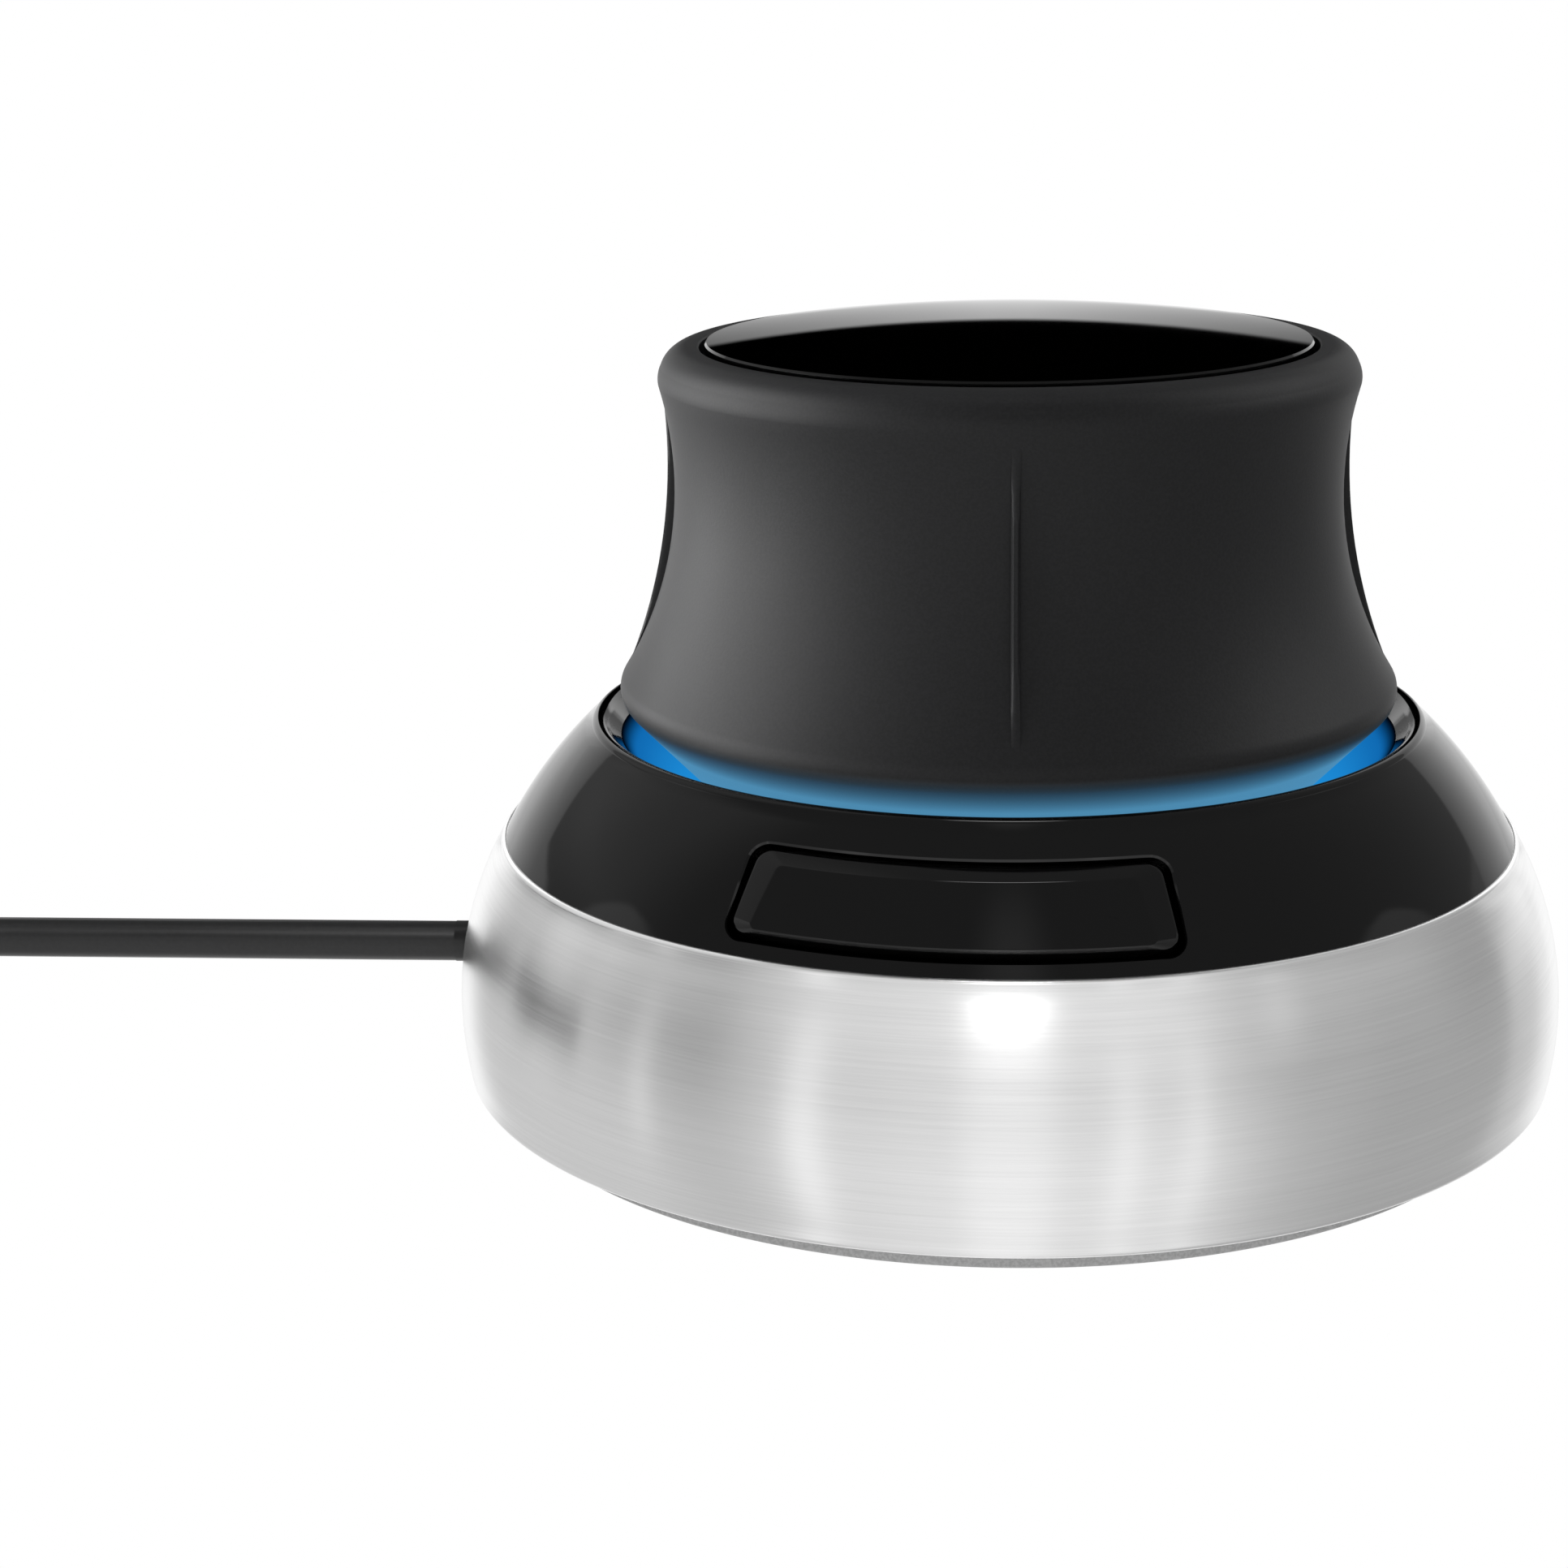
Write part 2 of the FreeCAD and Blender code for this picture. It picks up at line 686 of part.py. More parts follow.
def base_plate():
    """Steel plate that closes the base from below, with stepped holes for its screws."""
    body = turned("base_plate", [
        (0, "foot_thickness"),
        ("plate_radius", "foot_thickness"),
        ("plate_radius", plate_top),
        (0, plate_top),
    ])
    head = measure("screw_head_radius") + "plate_play"
    stepped = [
        (0, measure("foot_thickness") - 0.5),
        (head, measure("foot_thickness") - 0.5),
        (head, screw_seat),
        ("screw_hole_radius", screw_seat),
        ("screw_hole_radius", plate_top + 0.5),
        (0, plate_top + 0.5),
    ]
    hole = turned_round(body, "hole", "screw_circle", stepped, kind="Groove")
    repeat(body, [hole], SCREWS)
    return body


def foot_ring():
    """Soft ring that keeps the mouse from sliding."""
    edge = measure("plate_play")
    return turned("foot_ring", [
        ("foot_inner", 0),
        (measure("plate_radius") - edge, 0),
        ("plate_radius", edge),
        ("plate_radius", "foot_thickness"),
        ("foot_inner", "foot_thickness"),
    ])


def base_screws():
    """Three screws that hold plate, weight, frame, board and cover together."""
    body = new_body("base_screws")
    low = measure("foot_thickness") + 0.15
    screw = turned_round(body, "screw", "screw_circle", [
        (0, low),
        ("screw_head_radius", low),
        ("screw_head_radius", screw_seat),
        ("screw_shank_radius", screw_seat),
        ("screw_shank_radius", "screw_top"),
        (0, "screw_top"),
    ])
    repeat(body, [screw], SCREWS)
    return body


def cable_channel(body, name, width, low, high):
    """Cut a straight channel towards -X for the cable."""
    sketch = new_sketch(body, "YZ_Plane", name)
    half = measure(width) / 2
    outline(sketch, [(-half, low), (half, low), (half, high), (-half, high)])
    return pad(body, sketch, measure("shell_radius") + 5, kind="Pocket")


def ballast_weight():
    """Steel ring that makes the base heavy, with a channel for the cable."""
    outer = measure("shell_bore") - "slip"
    body = turned("ballast_weight", [
        ("core_bore", plate_top),
        (outer, plate_top),
        (outer, measure("ballast_top") - "slip"),
        (outer - "slip", "ballast_top"),
        ("core_bore", "ballast_top"),
    ])
    drill(body, "hole", "screw_circle", "screw_hole_radius", plate_top - 1, measure("ballast_top") + 1,
          SCREWS)
    channel = measure("clamp_width") + measure("fit_gap") * 2
    cable_channel(body, "channel", channel, measure("lead_floor"), measure("ballast_top") + 1)
    return body


def switch_back(depth):
    """Radius and height of the point at a depth behind the middle of a button's face."""
    side, rise = measure("button_side_share"), measure("button_rise_share")
    depth = measure(depth)
    return measure("button_radius") - depth * side, measure("button_height") - depth * rise, side, rise


def inner_frame():
    """Plastic ring between weight and board, with a leaning post behind each switch."""
    body = turned("inner_frame", [
        ("core_bore", "ballast_top"),
        ("frame_radius", "ballast_top"),
        ("frame_radius", frame_top),
        ("core_bore", frame_top),
    ])
    radius, height, side, rise = switch_back(measure("switch_face") + "switch_height")
    half = measure("switch_width") / 2
    top_radius = radius - rise * half
    top = height + side * half
    foot = measure("ballast_top") + "fit_gap"
    low_radius = radius + (height - foot) * rise / side
    aside = measure("button_turn_angle") + 90
    for name, turn in (("left_post", -aside), ("right_post", aside)):
        post = new_sketch(body, "XZ_Plane", name, turn=turn)
        outline(post, [
            (top_radius - 1, foot),
            (low_radius, foot),
            (top_radius, top),
            (top_radius - 1, top),
        ])
        pad(body, post, "post_width", both_ways=True)
    drill(body, "hole", "screw_circle", "screw_hole_radius", measure("ballast_top") - 1, frame_top + 1,
          SCREWS)
    notch = new_sketch(body, "XY_Plane", "connector_notch", lift=frame_top + 1)
    half_notch = measure("connector_width") / 2 + "notch_play"
    far = measure("lead_end") + "notch_play"
    near = measure("core_bore") - 1
    outline(notch, [(-far, -half_notch), (-near, -half_notch), (-near, half_notch), (-far, half_notch)])
    pad(body, notch, measure("frame_thickness") + 2, kind="Pocket")
    return body


def main_board():
    """Ring-shaped circuit board with a notch round each post."""
    body = turned("main_board", [
        ("board_bore", frame_top),
        ("board_radius", frame_top),
        ("board_radius", board_top),
        ("board_bore", board_top),
    ])
    drill(body, "hole", "screw_circle", "screw_hole_radius", frame_top - 1, board_top + 1, SCREWS)
    radius, height, side, rise = switch_back(measure("switch_face") + "switch_height")
    near = radius - rise * (measure("switch_width") / 2) - 1 - "notch_play"
    half = measure("post_width") / 2 + "notch_play"
    far = measure("board_radius") + 1
    aside = measure("button_turn_angle") + 90
    for name, turn in (("left_notch", -aside), ("right_notch", aside)):
        notch = new_sketch(body, "XY_Plane", name, turn=turn, lift=board_top + 1)
        outline(notch, [(near, -half), (far, -half), (far, half), (near, half)])
        pad(body, notch, measure("board_thickness") + 2, kind="Pocket")
    return body


def blue_leds():
    """Six small flat lamps on the board, one under each window of the cover."""
    body = new_body("blue_leds")
    sketch = new_sketch(body, "XY_Plane", "lamp", turn=HALF_THIRD / 2, lift=board_top)
    half = measure("lamp_length") / 2
    near = measure("window_circle") - measure("lamp_width") / 2
    far = near + "lamp_width"
    outline(sketch, [(near, -half), (far, -half), (far, half), (near, half)])
    lamp = pad(body, sketch, "lamp_height")
    repeat(body, [lamp], LAMPS)
    return body


def box(label, base, sizes):
    """A plain block, placed by its lowest corner."""
    block = document.addObject("Part::Box", label)
    block.Label = label
    for axis, place in zip("xyz", base):
        bind(block, f".Placement.Base.{axis}", place)
    for prop, size in zip(("Length", "Width", "Height"), sizes):
        bind(block, prop, size)
    return block


def controller_chip():
    """Flat chip in the middle of the board's width."""
    middle = (measure("board_bore") + "board_radius") / 2
    half = measure("chip_width") / 2
    corner = (middle * math.cos(CHIP_ANGLE) - half, middle * math.sin(CHIP_ANGLE) - half, board_top)
    return box("controller_chip", corner, ("chip_width", "chip_width", "chip_height"))


def facing_sketch(body, name, depth=0.0):
    """A sketch square to a button's travel, at a depth behind the middle of its face."""
    radius, height, side, rise = switch_back(depth)
    sketch = new_sketch(body, "XY_Plane", name)
    sketch.AttachmentOffset = FreeCAD.Placement(Vector(), FreeCAD.Rotation(Vector(1, 0, 0), 1.0))
    bind(sketch, ".AttachmentOffset.Rotation.Angle", "button_tilt")
    bind(sketch, ".AttachmentOffset.Base.y", -radius)
    bind(sketch, ".AttachmentOffset.Base.z", height)
    return sketch


def button_body(label):
    """A body turned about +Z so that its own -Y side is where the left button sits."""
    body = new_body(label)
    body.Placement = FreeCAD.Placement(Vector(), FreeCAD.Rotation(Vector(0, 0, 1), -1.0))
    bind(body, ".Placement.Rotation.Angle", -measure("button_turn_angle"))
    return body


def sagged_radius(half, sag):
    """Radius of an arc from its half width and its sag."""
    half, sag = measure(half), measure(sag)
    return (half * half + sag * sag) / (sag * 2)


def button_prism(body, gap, above, below):
    """The long bow-shaped outline of a button, carried along its travel, with round corners."""
    top_half = measure("button_top_half") - gap
    top = measure("button_top_mid") - gap
    low_half = measure("button_low_half") - gap
    low = -measure("button_low_mid") + gap
    sketch = facing_sketch(body, "outline", -measure(above))
    outline(sketch, [
        (-low_half, low + "button_low_sag", sagged_radius(low_half, "button_low_sag"), LEFT),
        (low_half, low + "button_low_sag"),
        (top_half, top + "button_top_sag", sagged_radius(top_half, "button_top_sag"), RIGHT),
        (-top_half, top + "button_top_sag"),
    ])
    prism = pad(body, sketch, measure(above) + below, reverse=True)
    document.recompute()
    travel = facing_direction(body)
    edges = []
    for number, edge in enumerate(prism.Shape.Edges, start=1):
        ends = [vertex.Point for vertex in edge.Vertexes]
        if len(ends) == 2 and abs((ends[1] - ends[0]).normalize().dot(travel)) > 0.999:
            edges.append(f"Edge{number}")
    corners = body.newObject("PartDesign::Fillet", f"{body.Name}_corners")
    corners.Base = (prism, edges)
    bind(corners, "Radius", "button_corner_radius")
    body.Tip = corners
    return corners


def facing_direction(body):
    """Direction of a button's travel in its body's own frame."""
    lean = math.radians(value("button_tilt"))
    return Vector(0, math.sin(lean), -math.cos(lean))


def opening_prism():
    """What is cut out of the cover for the left button."""
    body = button_body("button_opening")
    button_prism(body, 0.0, "opening_reach", "opening_depth")
    return body


def mirrored(label, source):
    """The same piece on the +Y side."""
    copy = document.addObject("Part::Mirroring", label)
    copy.Label = label
    copy.Source = source
    copy.Normal = Vector(0, 1, 0)
    copy.Base = Vector(0, 0, 0)
    return copy


def cover_blank():
    """Black cover without its button openings: cone, lip, funnel, floor, hub and spigot."""
    lip_in = cover_at("lip_height") - "lip_width"
    lip_top = measure("lip_height") + "lip_rise"
    spigot = measure("shell_bore") - "plate_play"
    spigot_in = spigot - "spigot_wall"
    inner_curve = measure("cover_curve") - "cover_wall"
    reach = spigot_in - "cover_axis"
    spigot_meets = measure("cover_centre") + root(inner_curve * inner_curve - reach * reach)
    collar = measure("hub_bore") + "hub_wall"
    body = turned("cover_blank", [
        (cover_at("seam_height"), "seam_height", "cover_curve", LEFT),
        (cover_at("lip_height"), "lip_height", "lip_round", LEFT),
        (lip_in, lip_top),
        ("funnel_foot", "funnel_low"),
        ("funnel_foot", "floor_top"),
        (collar, "floor_top"),
        (collar, "hub_top"),
        ("hub_bore", "hub_top"),
        ("hub_bore", floor_low),
        ("funnel_back_foot", floor_low),
        ("funnel_back_foot", "funnel_back_low"),
        ("funnel_back_top", "pocket_top"),
        (cover_at("pocket_top", "cover_wall"), "pocket_top", inner_curve, RIGHT),
        (spigot_in, spigot_meets),
        (spigot_in, "spigot_foot"),
        (spigot, "spigot_foot"),
        (spigot, "seam_height"),
    ])
    boss = turned_round(body, "boss", "screw_circle", [
        (0, board_top),
        ("boss_radius", board_top),
        ("boss_radius", "boss_top"),
        (0, "boss_top"),
    ])
    repeat(body, [boss], SCREWS)
    thread = measure("screw_shank_radius") + "fit_gap"
    drill(body, "thread", "screw_circle", thread, board_top - 1, measure("screw_top") + 0.5, SCREWS)
    drill(body, "window", "window_circle", "window_radius", floor_low - 1, measure("floor_top") + 1,
          LAMPS, turn=HALF_THIRD / 2)
    return body


def top_cover():
    """Black cover: the blank with an opening for each side button."""
    left = opening_prism()
    right = mirrored("button_opening_right", left)
    both = document.addObject("Part::MultiFuse", "button_openings")
    both.Shapes = [left, right]
    cover = document.addObject("Part::Cut", "top_cover")
    cover.Label = "top_cover"
    cover.Base = cover_blank()
    cover.Tool = both
    return cover


def light_ring():
    """Clear ring on the cover's floor that spreads the blue light."""
    top = measure("floor_top") + "light_ring_height"
    return turned("light_ring", [
        ("light_ring_inner", "floor_top"),
        ("light_ring_outer", "floor_top"),
        ("light_ring_outer", top - 0.4, 8.0, LEFT),
        (measure("light_ring_inner") + 0.6, top),
        ("light_ring_inner", top - 0.6),
    ])


def left_button():
    """Long key let into the cone: bowed outline, curved face, bevelled rim and a pusher behind."""
    body = button_body("left_button")
    button_prism(body, "button_gap", "opening_reach", "opening_depth")
    face = measure("cover_curve") + "button_proud"
    outside = new_sketch(body, "XZ_Plane", "outside")
    far = measure("cover_curve") * 2
    low = measure("cover_centre") + 5
    high = measure("cover_centre") + "cover_curve" - 3
    axis = measure("cover_axis")
    outline(outside, [
        (axis + root(face * face - 25.0), low, face, LEFT),
        (axis + root(face * face - (high - "cover_centre") * (high - "cover_centre")), high),
        (far, high),
        (far, low),
    ])
    revolve(body, outside, "Groove")
    back = measure("cover_curve") - "button_wall"
    inside = new_sketch(body, "XZ_Plane", "inside")
    outline(inside, [
        (0, low),
        (axis + root(back * back - 25.0), low, back, LEFT),
        (axis + root(back * back - (high - "cover_centre") * (high - "cover_centre")), high),
        (0, high),
    ])
    revolve(body, inside, "Groove")
    pusher = facing_sketch(body, "pusher", 1.0)
    circle(pusher, 0, 0, "pusher_radius")
    pad(body, pusher, measure("pusher_depth") - 1.0, reverse=True)
    return body


def left_switch_plunger():
    """The small peg that the button pushes into its switch."""
    body = button_body("left_switch_plunger")
    sketch = facing_sketch(body, "peg", "pusher_depth")
    circle(sketch, 0, 0, "plunger_radius")
    pad(body, sketch, measure("plunger_depth") - "pusher_depth", reverse=True)
    return body


def left_switch():
    """Small square switch with a round hole in its face."""
    body = button_body("left_switch")
    half = measure("switch_width") / 2
    case = facing_sketch(body, "case", "switch_face")
    outline(case, [(-half, -half), (half, -half), (half, half), (-half, half)])
    pad(body, case, "switch_height", reverse=True)
    hole = facing_sketch(body, "hole", "switch_face")
    circle(hole, 0, 0, "switch_hole_radius")
    pad(body, hole, "switch_hole_depth", kind="Pocket")
    return body


def sensor_board():
    """Round board under the knob that carries the optical sensor."""
    body = turned("sensor_board", [
        (0, "sensor_board_foot"),
        ("sensor_board_radius", "sensor_board_foot"),
        ("sensor_board_radius", sensor_top),
        (0, sensor_top),
    ])
    drill(body, "hole", "pillar_circle_radius", "pin_hole_radius", measure("sensor_board_foot") - 1,
          sensor_top + 1, SCREWS, turn=HALF_THIRD)
    return body


def sensor_pillars():
    """Three tapped pillars between base plate and sensor board."""
    body = new_body("sensor_pillars")
    pillar = turned_round(body, "pillar", "pillar_circle_radius", [
        ("pin_hole_radius", plate_top),
        ("pillar_radius", plate_top),
        ("pillar_radius", "sensor_board_foot"),
        ("pin_hole_radius", "sensor_board_foot"),
    ], turn=HALF_THIRD)
    repeat(body, [pillar], SCREWS)
    return body


def board_screws():
    """Three small screws through the sensor board into its pillars."""
    body = new_body("board_screws")
    screw = turned_round(body, "screw", "pillar_circle_radius", [
        (0, plate_top + 0.2),
        ("pin_shank_radius", plate_top + 0.2),
        ("pin_shank_radius", sensor_top),
        ("pin_head_radius", sensor_top),
        ("pin_head_radius", sensor_top + "pin_head_height"),
        (0, sensor_top + "pin_head_height"),
    ], turn=HALF_THIRD)
    repeat(body, [screw], SCREWS)
    return body


def light_emitters():
    """Ring-shaped housing in the middle of the sensor board, with a lamp facing each slit."""
    body = turned("light_emitters", [
        (measure("emitter_radius") - "emitter_wall", sensor_top),
        ("emitter_radius", sensor_top),
        ("emitter_radius", sensor_top + "emitter_height"),
        (measure("emitter_radius") - "emitter_wall", sensor_top + "emitter_height"),
    ])
    return body


def light_detectors():
    """Six upright detectors round the edge of the sensor board."""
    body = new_body("light_detectors")
    half = measure("detector_width") / 2
    sketch = new_sketch(body, "XY_Plane", "foot", lift=sensor_top)
    near = measure("detector_inner")
    far = near + "detector_depth"
    outline(sketch, [(near, -half), (far, -half), (far, half), (near, half)])
    detector = pad(body, sketch, "detector_height")
    repeat(body, [detector], SLITS)
    return body


def helical_spring(label, azimuth):
    """Open spring of square wire between the sensor board and the moving plate."""
    body = new_body(label)
    half = measure("spring_wire") / 2
    gap = measure("fit_gap") / 2
    room = measure("moving_plate_foot") - sensor_top - "spring_wire" - gap * 2
    section = new_sketch(body, "XZ_Plane", "wire")
    radius = measure("spring_radius")
    outline(section, [
        (radius - half, -half),
        (radius + half, -half),
        (radius + half, half),
        (radius - half, half),
    ])
    helix = body.newObject("PartDesign::AdditiveHelix", f"{label}_helix")
    helix.Profile = section
    helix.ReferenceAxis = (section, ["V_Axis"])
    helix.Mode = "height-turns-angle"
    bind(helix, "Height", room)
    helix.Turns = SPRING_TURNS
    body.Tip = helix
    angle = math.radians(azimuth)
    bind(body, ".Placement.Base.x", measure("spring_circle_radius") * math.cos(angle))
    bind(body, ".Placement.Base.y", measure("spring_circle_radius") * math.sin(angle))
    bind(body, ".Placement.Base.z", sensor_top + half + gap)
    return body


def moving_plate():
    """Round plate that rides on the springs and turns with the knob."""
    body = turned("moving_plate", [
        (measure("pin_hole_radius") * 2, "moving_plate_foot"),
        ("moving_plate_radius", "moving_plate_foot"),
        ("moving_plate_radius", moving_top),
        (measure("pin_hole_radius") * 2, moving_top),
    ])
    drill(body, "hole", "stem_screw_circle", "pin_hole_radius", measure("moving_plate_foot") - 1,
          moving_top + 1, SCREWS, turn=HALF_THIRD)
    return body


def slit_ring():
    """Thin skirt under the moving plate, with a slit in front of each detector."""
    inner = measure("slit_ring_radius") - "slit_ring_wall"
    body = turned("slit_ring", [
        (inner, "slit_ring_foot"),
        ("slit_ring_radius", "slit_ring_foot"),
        ("slit_ring_radius", "moving_plate_foot"),
        (inner, "moving_plate_foot"),
    ])
    half = measure("slit_width") / 2
    sketch = new_sketch(body, "XY_Plane", "slit", lift="slit_high")
    far = measure("slit_ring_radius") + 1
    outline(sketch, [(inner - 1, -half), (far, -half), (far, half), (inner - 1, half)])
    slit = pad(body, sketch, "slit_length", kind="Pocket")
    repeat(body, [slit], SLITS)
    return body


def stop_collar():
    """Loose ring round the stem's foot that meets the hub when the knob is pulled."""
    foot = moving_top + 0.2
    inner = measure("stop_collar_inner")
    outer = inner + "stop_collar_wall"
    return turned("stop_collar", [
        (inner, foot),
        (outer, foot),
        (outer, foot + "stop_collar_height"),
        (inner, foot + "stop_collar_height"),
    ])


def buffer_ring():
    """Soft ring on the stem, inside the hub, that cushions its stops."""
    inner = measure("stem_radius") + "slip"
    outer = inner + "buffer_wall"
    top = measure("buffer_foot") + "buffer_height"
    return turned("buffer_ring", [
        (inner, "buffer_foot"),
        (outer - 0.4, "buffer_foot"),
        (outer, measure("buffer_foot") + 0.4),
        (outer, top - 0.4),
        (outer - 0.4, top),
        (inner, top),
    ])


def knob_grip():
    """Rubber sleeve of the knob: cone below, waist, beaded rim and four thin upright ribs."""
    inner_curve = measure("waist_curve") + "grip_wall"
    body = turned("knob_grip", [
        ("knob_foot_radius", "knob_foot"),
        ("skirt_low_radius", "skirt_low", "skirt_round", LEFT),
        ("skirt_high_radius", "skirt_high", "waist_curve", RIGHT),
        ("bead_foot_radius", "bead_foot", "bead_round", LEFT),
        ("bead_radius", "bead_height", "crown_round", LEFT),
        ("rim_radius", "rim_height"),
        ("rim_bore", "rim_height"),
        ("rim_bore", "core_top"),
        (waist_at("core_top", "grip_wall"), "core_top", inner_curve, LEFT),
        skirt_corner("grip_corner", "grip_wall"),
        skirt_foot("grip_wall"),
    ])
    middle = measure("grip_wall") / 2
    sketch = new_sketch(body, "XZ_Plane", "rib", turn="rib_turn_angle")
    outline(sketch, [
        (waist_at("rib_foot", middle), "rib_foot"),
        (waist_at("rib_foot"), "rib_foot", "rib_curve", RIGHT),
        (waist_at("rib_top"), "rib_top"),
        (waist_at("rib_top", middle), "rib_top", measure("waist_curve") + middle, LEFT),
    ])
    rib = pad(body, sketch, "rib_width", both_ways=True)
    repeat(body, [rib], GRIP_RIBS)
    return body


def knob_core():
    """Moulded body inside the grip: wall, top plate, hollow stem with its flange, and ribs."""
    outer = measure("grip_wall") + "fit_gap"
    inner = outer + "core_wall"
    body = turned("knob_core", [
        skirt_foot(outer),
        skirt_corner("core_corner", outer) + (measure("waist_curve") + outer, RIGHT),
        (waist_at("core_top", outer), "core_top"),
        (0, "core_top"),
        (0, "stem_bore_top"),
        ("stem_bore", "stem_bore_top"),
        ("stem_bore", moving_top),
        ("flange_radius", moving_top),
        ("flange_radius", flange_top),
        ("stem_radius", flange_top),
        ("stem_radius", "core_plate_low"),
        (waist_at("core_plate_low", inner), "core_plate_low", measure("waist_curve") + inner, LEFT),
        skirt_corner("core_inner_corner", inner),
        skirt_foot(inner),
    ])
    middle = outer + measure("core_wall") / 2
    sunk = measure("stem_radius") - measure("stem_wall") / 4
    high = measure("core_plate_low") + measure("core_plate") / 4
    sketch = new_sketch(body, "XZ_Plane", "rib")
    outline(sketch, [
        (sunk, "core_rib_foot"),
        (waist_at("core_rib_foot", middle), "core_rib_foot", measure("waist_curve") + middle, RIGHT),
        (waist_at(high, middle), high),
        (sunk, high),
    ])
    rib = pad(body, sketch, "core_rib", both_ways=True)
    repeat(body, [rib], CORE_RIBS)
    hole = measure("pin_shank_radius") + measure("fit_gap") / 2
    drill(body, "thread", "stem_screw_circle", hole, moving_top - 1, measure("stem_screw_top") + 0.3,
          SCREWS, turn=HALF_THIRD)
    return body


def knob_screws():
    """Three screws that hold the moving plate to the stem."""
    body = new_body("knob_screws")
    low = measure("moving_plate_foot") - "pin_head_height"
    screw = turned_round(body, "screw", "stem_screw_circle", [
        (0, low),
        ("pin_head_radius", low),
        ("pin_head_radius", "moving_plate_foot"),
        ("pin_shank_radius", "moving_plate_foot"),
        ("pin_shank_radius", "stem_screw_top"),
        (0, "stem_screw_top"),
    ], turn=HALF_THIRD)
    repeat(body, [screw], SCREWS)
    return body


def cap_disc():
    """Domed disc set into the top of the knob."""
    edge_top = measure("core_top") + "disc_edge"
    dome_foot = edge_top + "disc_bevel_rise"
    dome_radius = measure("disc_radius") - "disc_bevel"
    return turned("cap_disc", [
        (0, "core_top"),
        ("disc_radius", "core_top"),
        ("disc_radius", edge_top),
        (dome_radius, dome_foot, sagged_radius(dome_radius, measure("total_height") - dome_foot), LEFT),
        (0, "total_height"),
    ])


def along_cable(body, name, near, far, radius, kind="Pad"):
    """A round length on the cable's line inside the base, between two distances from the centre."""
    sketch = new_sketch(body, "YZ_Plane", name, lift=-measure(near))
    circle(sketch, 0, "cable_height", radius)
    return pad(body, sketch, measure(far) - near, kind=kind, reverse=kind == "Pad")


def cable_grommet():
    """Rubber sleeve that leads the cable out through the shell."""
    body = new_body("cable_grommet")
    along_cable(body, "sleeve", "grommet_inner_end", "grommet_outer_end", "grommet_radius")
    bore = measure("cable_radius") + measure("fit_gap") / 2
    near = measure("grommet_inner_end") - 1
    along_cable(body, "bore", near, measure("grommet_outer_end") + 1, bore, "Pocket")
    return body


def inner_lead():
    """The cable's straight end inside the base."""
    body = new_body("inner_lead")
    along_cable(body, "lead", "lead_end", "grommet_outer_end", "cable_radius")
    return body


def cable_clamp():
    """Saddle that holds the cable down in its channel."""
    half = measure("clamp_width") / 2
    body = new_body("cable_clamp")
    sketch = new_sketch(body, "YZ_Plane", "saddle", lift=-measure("clamp_from"))
    low = measure("cable_height")
    outline(sketch, [(-half, low), (half, low), (half, "ballast_top"), (-half, "ballast_top")])
    pad(body, sketch, "clamp_length", reverse=True)
    bore = measure("cable_radius") + "fit_gap"
    reach = measure("clamp_from") + "clamp_length" + 1
    along_cable(body, "bore", measure("clamp_from") - 1, reach, bore, "Pocket")
    return body


def lead_connector():
    """Socket block that joins the cable to the board from below."""
    half = measure("connector_width") / 2
    length = measure("connector_length")
    low = measure("lead_floor") + "fit_gap"
    return box("lead_connector", (-measure("lead_end"), -half, low),
               (length, "connector_width", frame_top - low))


CORD_SIDES = 8
LAYER_HALF_TURNS = (5, 5, 5, 4)
CABLE_LENGTH = 1500.0


def coil_height():
    """Height of the coil's lowest layer, which lies on its tie."""
    return value("tie_thickness") + value("fit_gap") + value("cable_radius")


def cable_route():
    """The cable's corners from the shell to the coil: level out of the base, then down to the desk."""
    low = coil_height()
    side = -value("coil_shift")
    return [
        Vector(-value("grommet_outer_end"), 0, value("cable_height")),
        Vector(-value("cable_bend"), 0, value("cable_height")),
        Vector(-value("cable_landing"), side, low),
        Vector(-value("coil_start"), side, low),
    ]


def coil_centre():
    """Middle of the coil, at the height of the desk."""
    start = cable_route()[-1]
    return Vector(start.x - value("cable_radius") * 2, start.y + value("coil_radius"), 0)


def plug_place():
    """Middle of the plug's back, where the cable ends, beside the coil."""
    aside = value("coil_radius") + value("cable_radius") + value("plug_gap") + value("plug_width") / 2
    return coil_centre() + Vector(0, aside, value("plug_height") / 2)


def tail_route(start):
    """The cable's corners from the coil's last turn down to the plug, in one wide curve."""
    end = plug_place()
    span = end - start
    return [
        start,
        start + Vector(0, span.y * 0.38, 0),
        start + Vector(0, span.y * 0.66, span.z * 0.2),
        start + Vector(span.x * 0.21, span.y * 0.88, span.z * 0.65),
        start + Vector(span.x * 0.57, span.y, span.z * 0.97),
        end,
    ]


def smooth_edges(route):
    """Straight runs joined by tangent arcs, and each arc's radius."""
    edges = []
    radii = []
    here = route[0]
    for before, corner, after in zip(route, route[1:], route[2:]):
        back = (before - corner).normalize()
        ahead = (after - corner).normalize()
        half_turn = (math.pi - back.getAngle(ahead)) / 2
        reach = 0.45 * min((before - corner).Length, (after - corner).Length)
        radius = reach / math.tan(half_turn)
        bisector = (back + ahead).normalize()
        centre = corner + bisector * (radius / math.cos(half_turn))
        start = corner + back * reach
        end = corner + ahead * reach
        middle = centre - bisector * radius
        edges.append(Part.LineSegment(here, start).toShape())
        edges.append(Part.Arc(start, middle, end).toShape())
        radii.append(radius)
        here = end
    edges.append(Part.LineSegment(here, route[-1]).toShape())
    return edges, radii


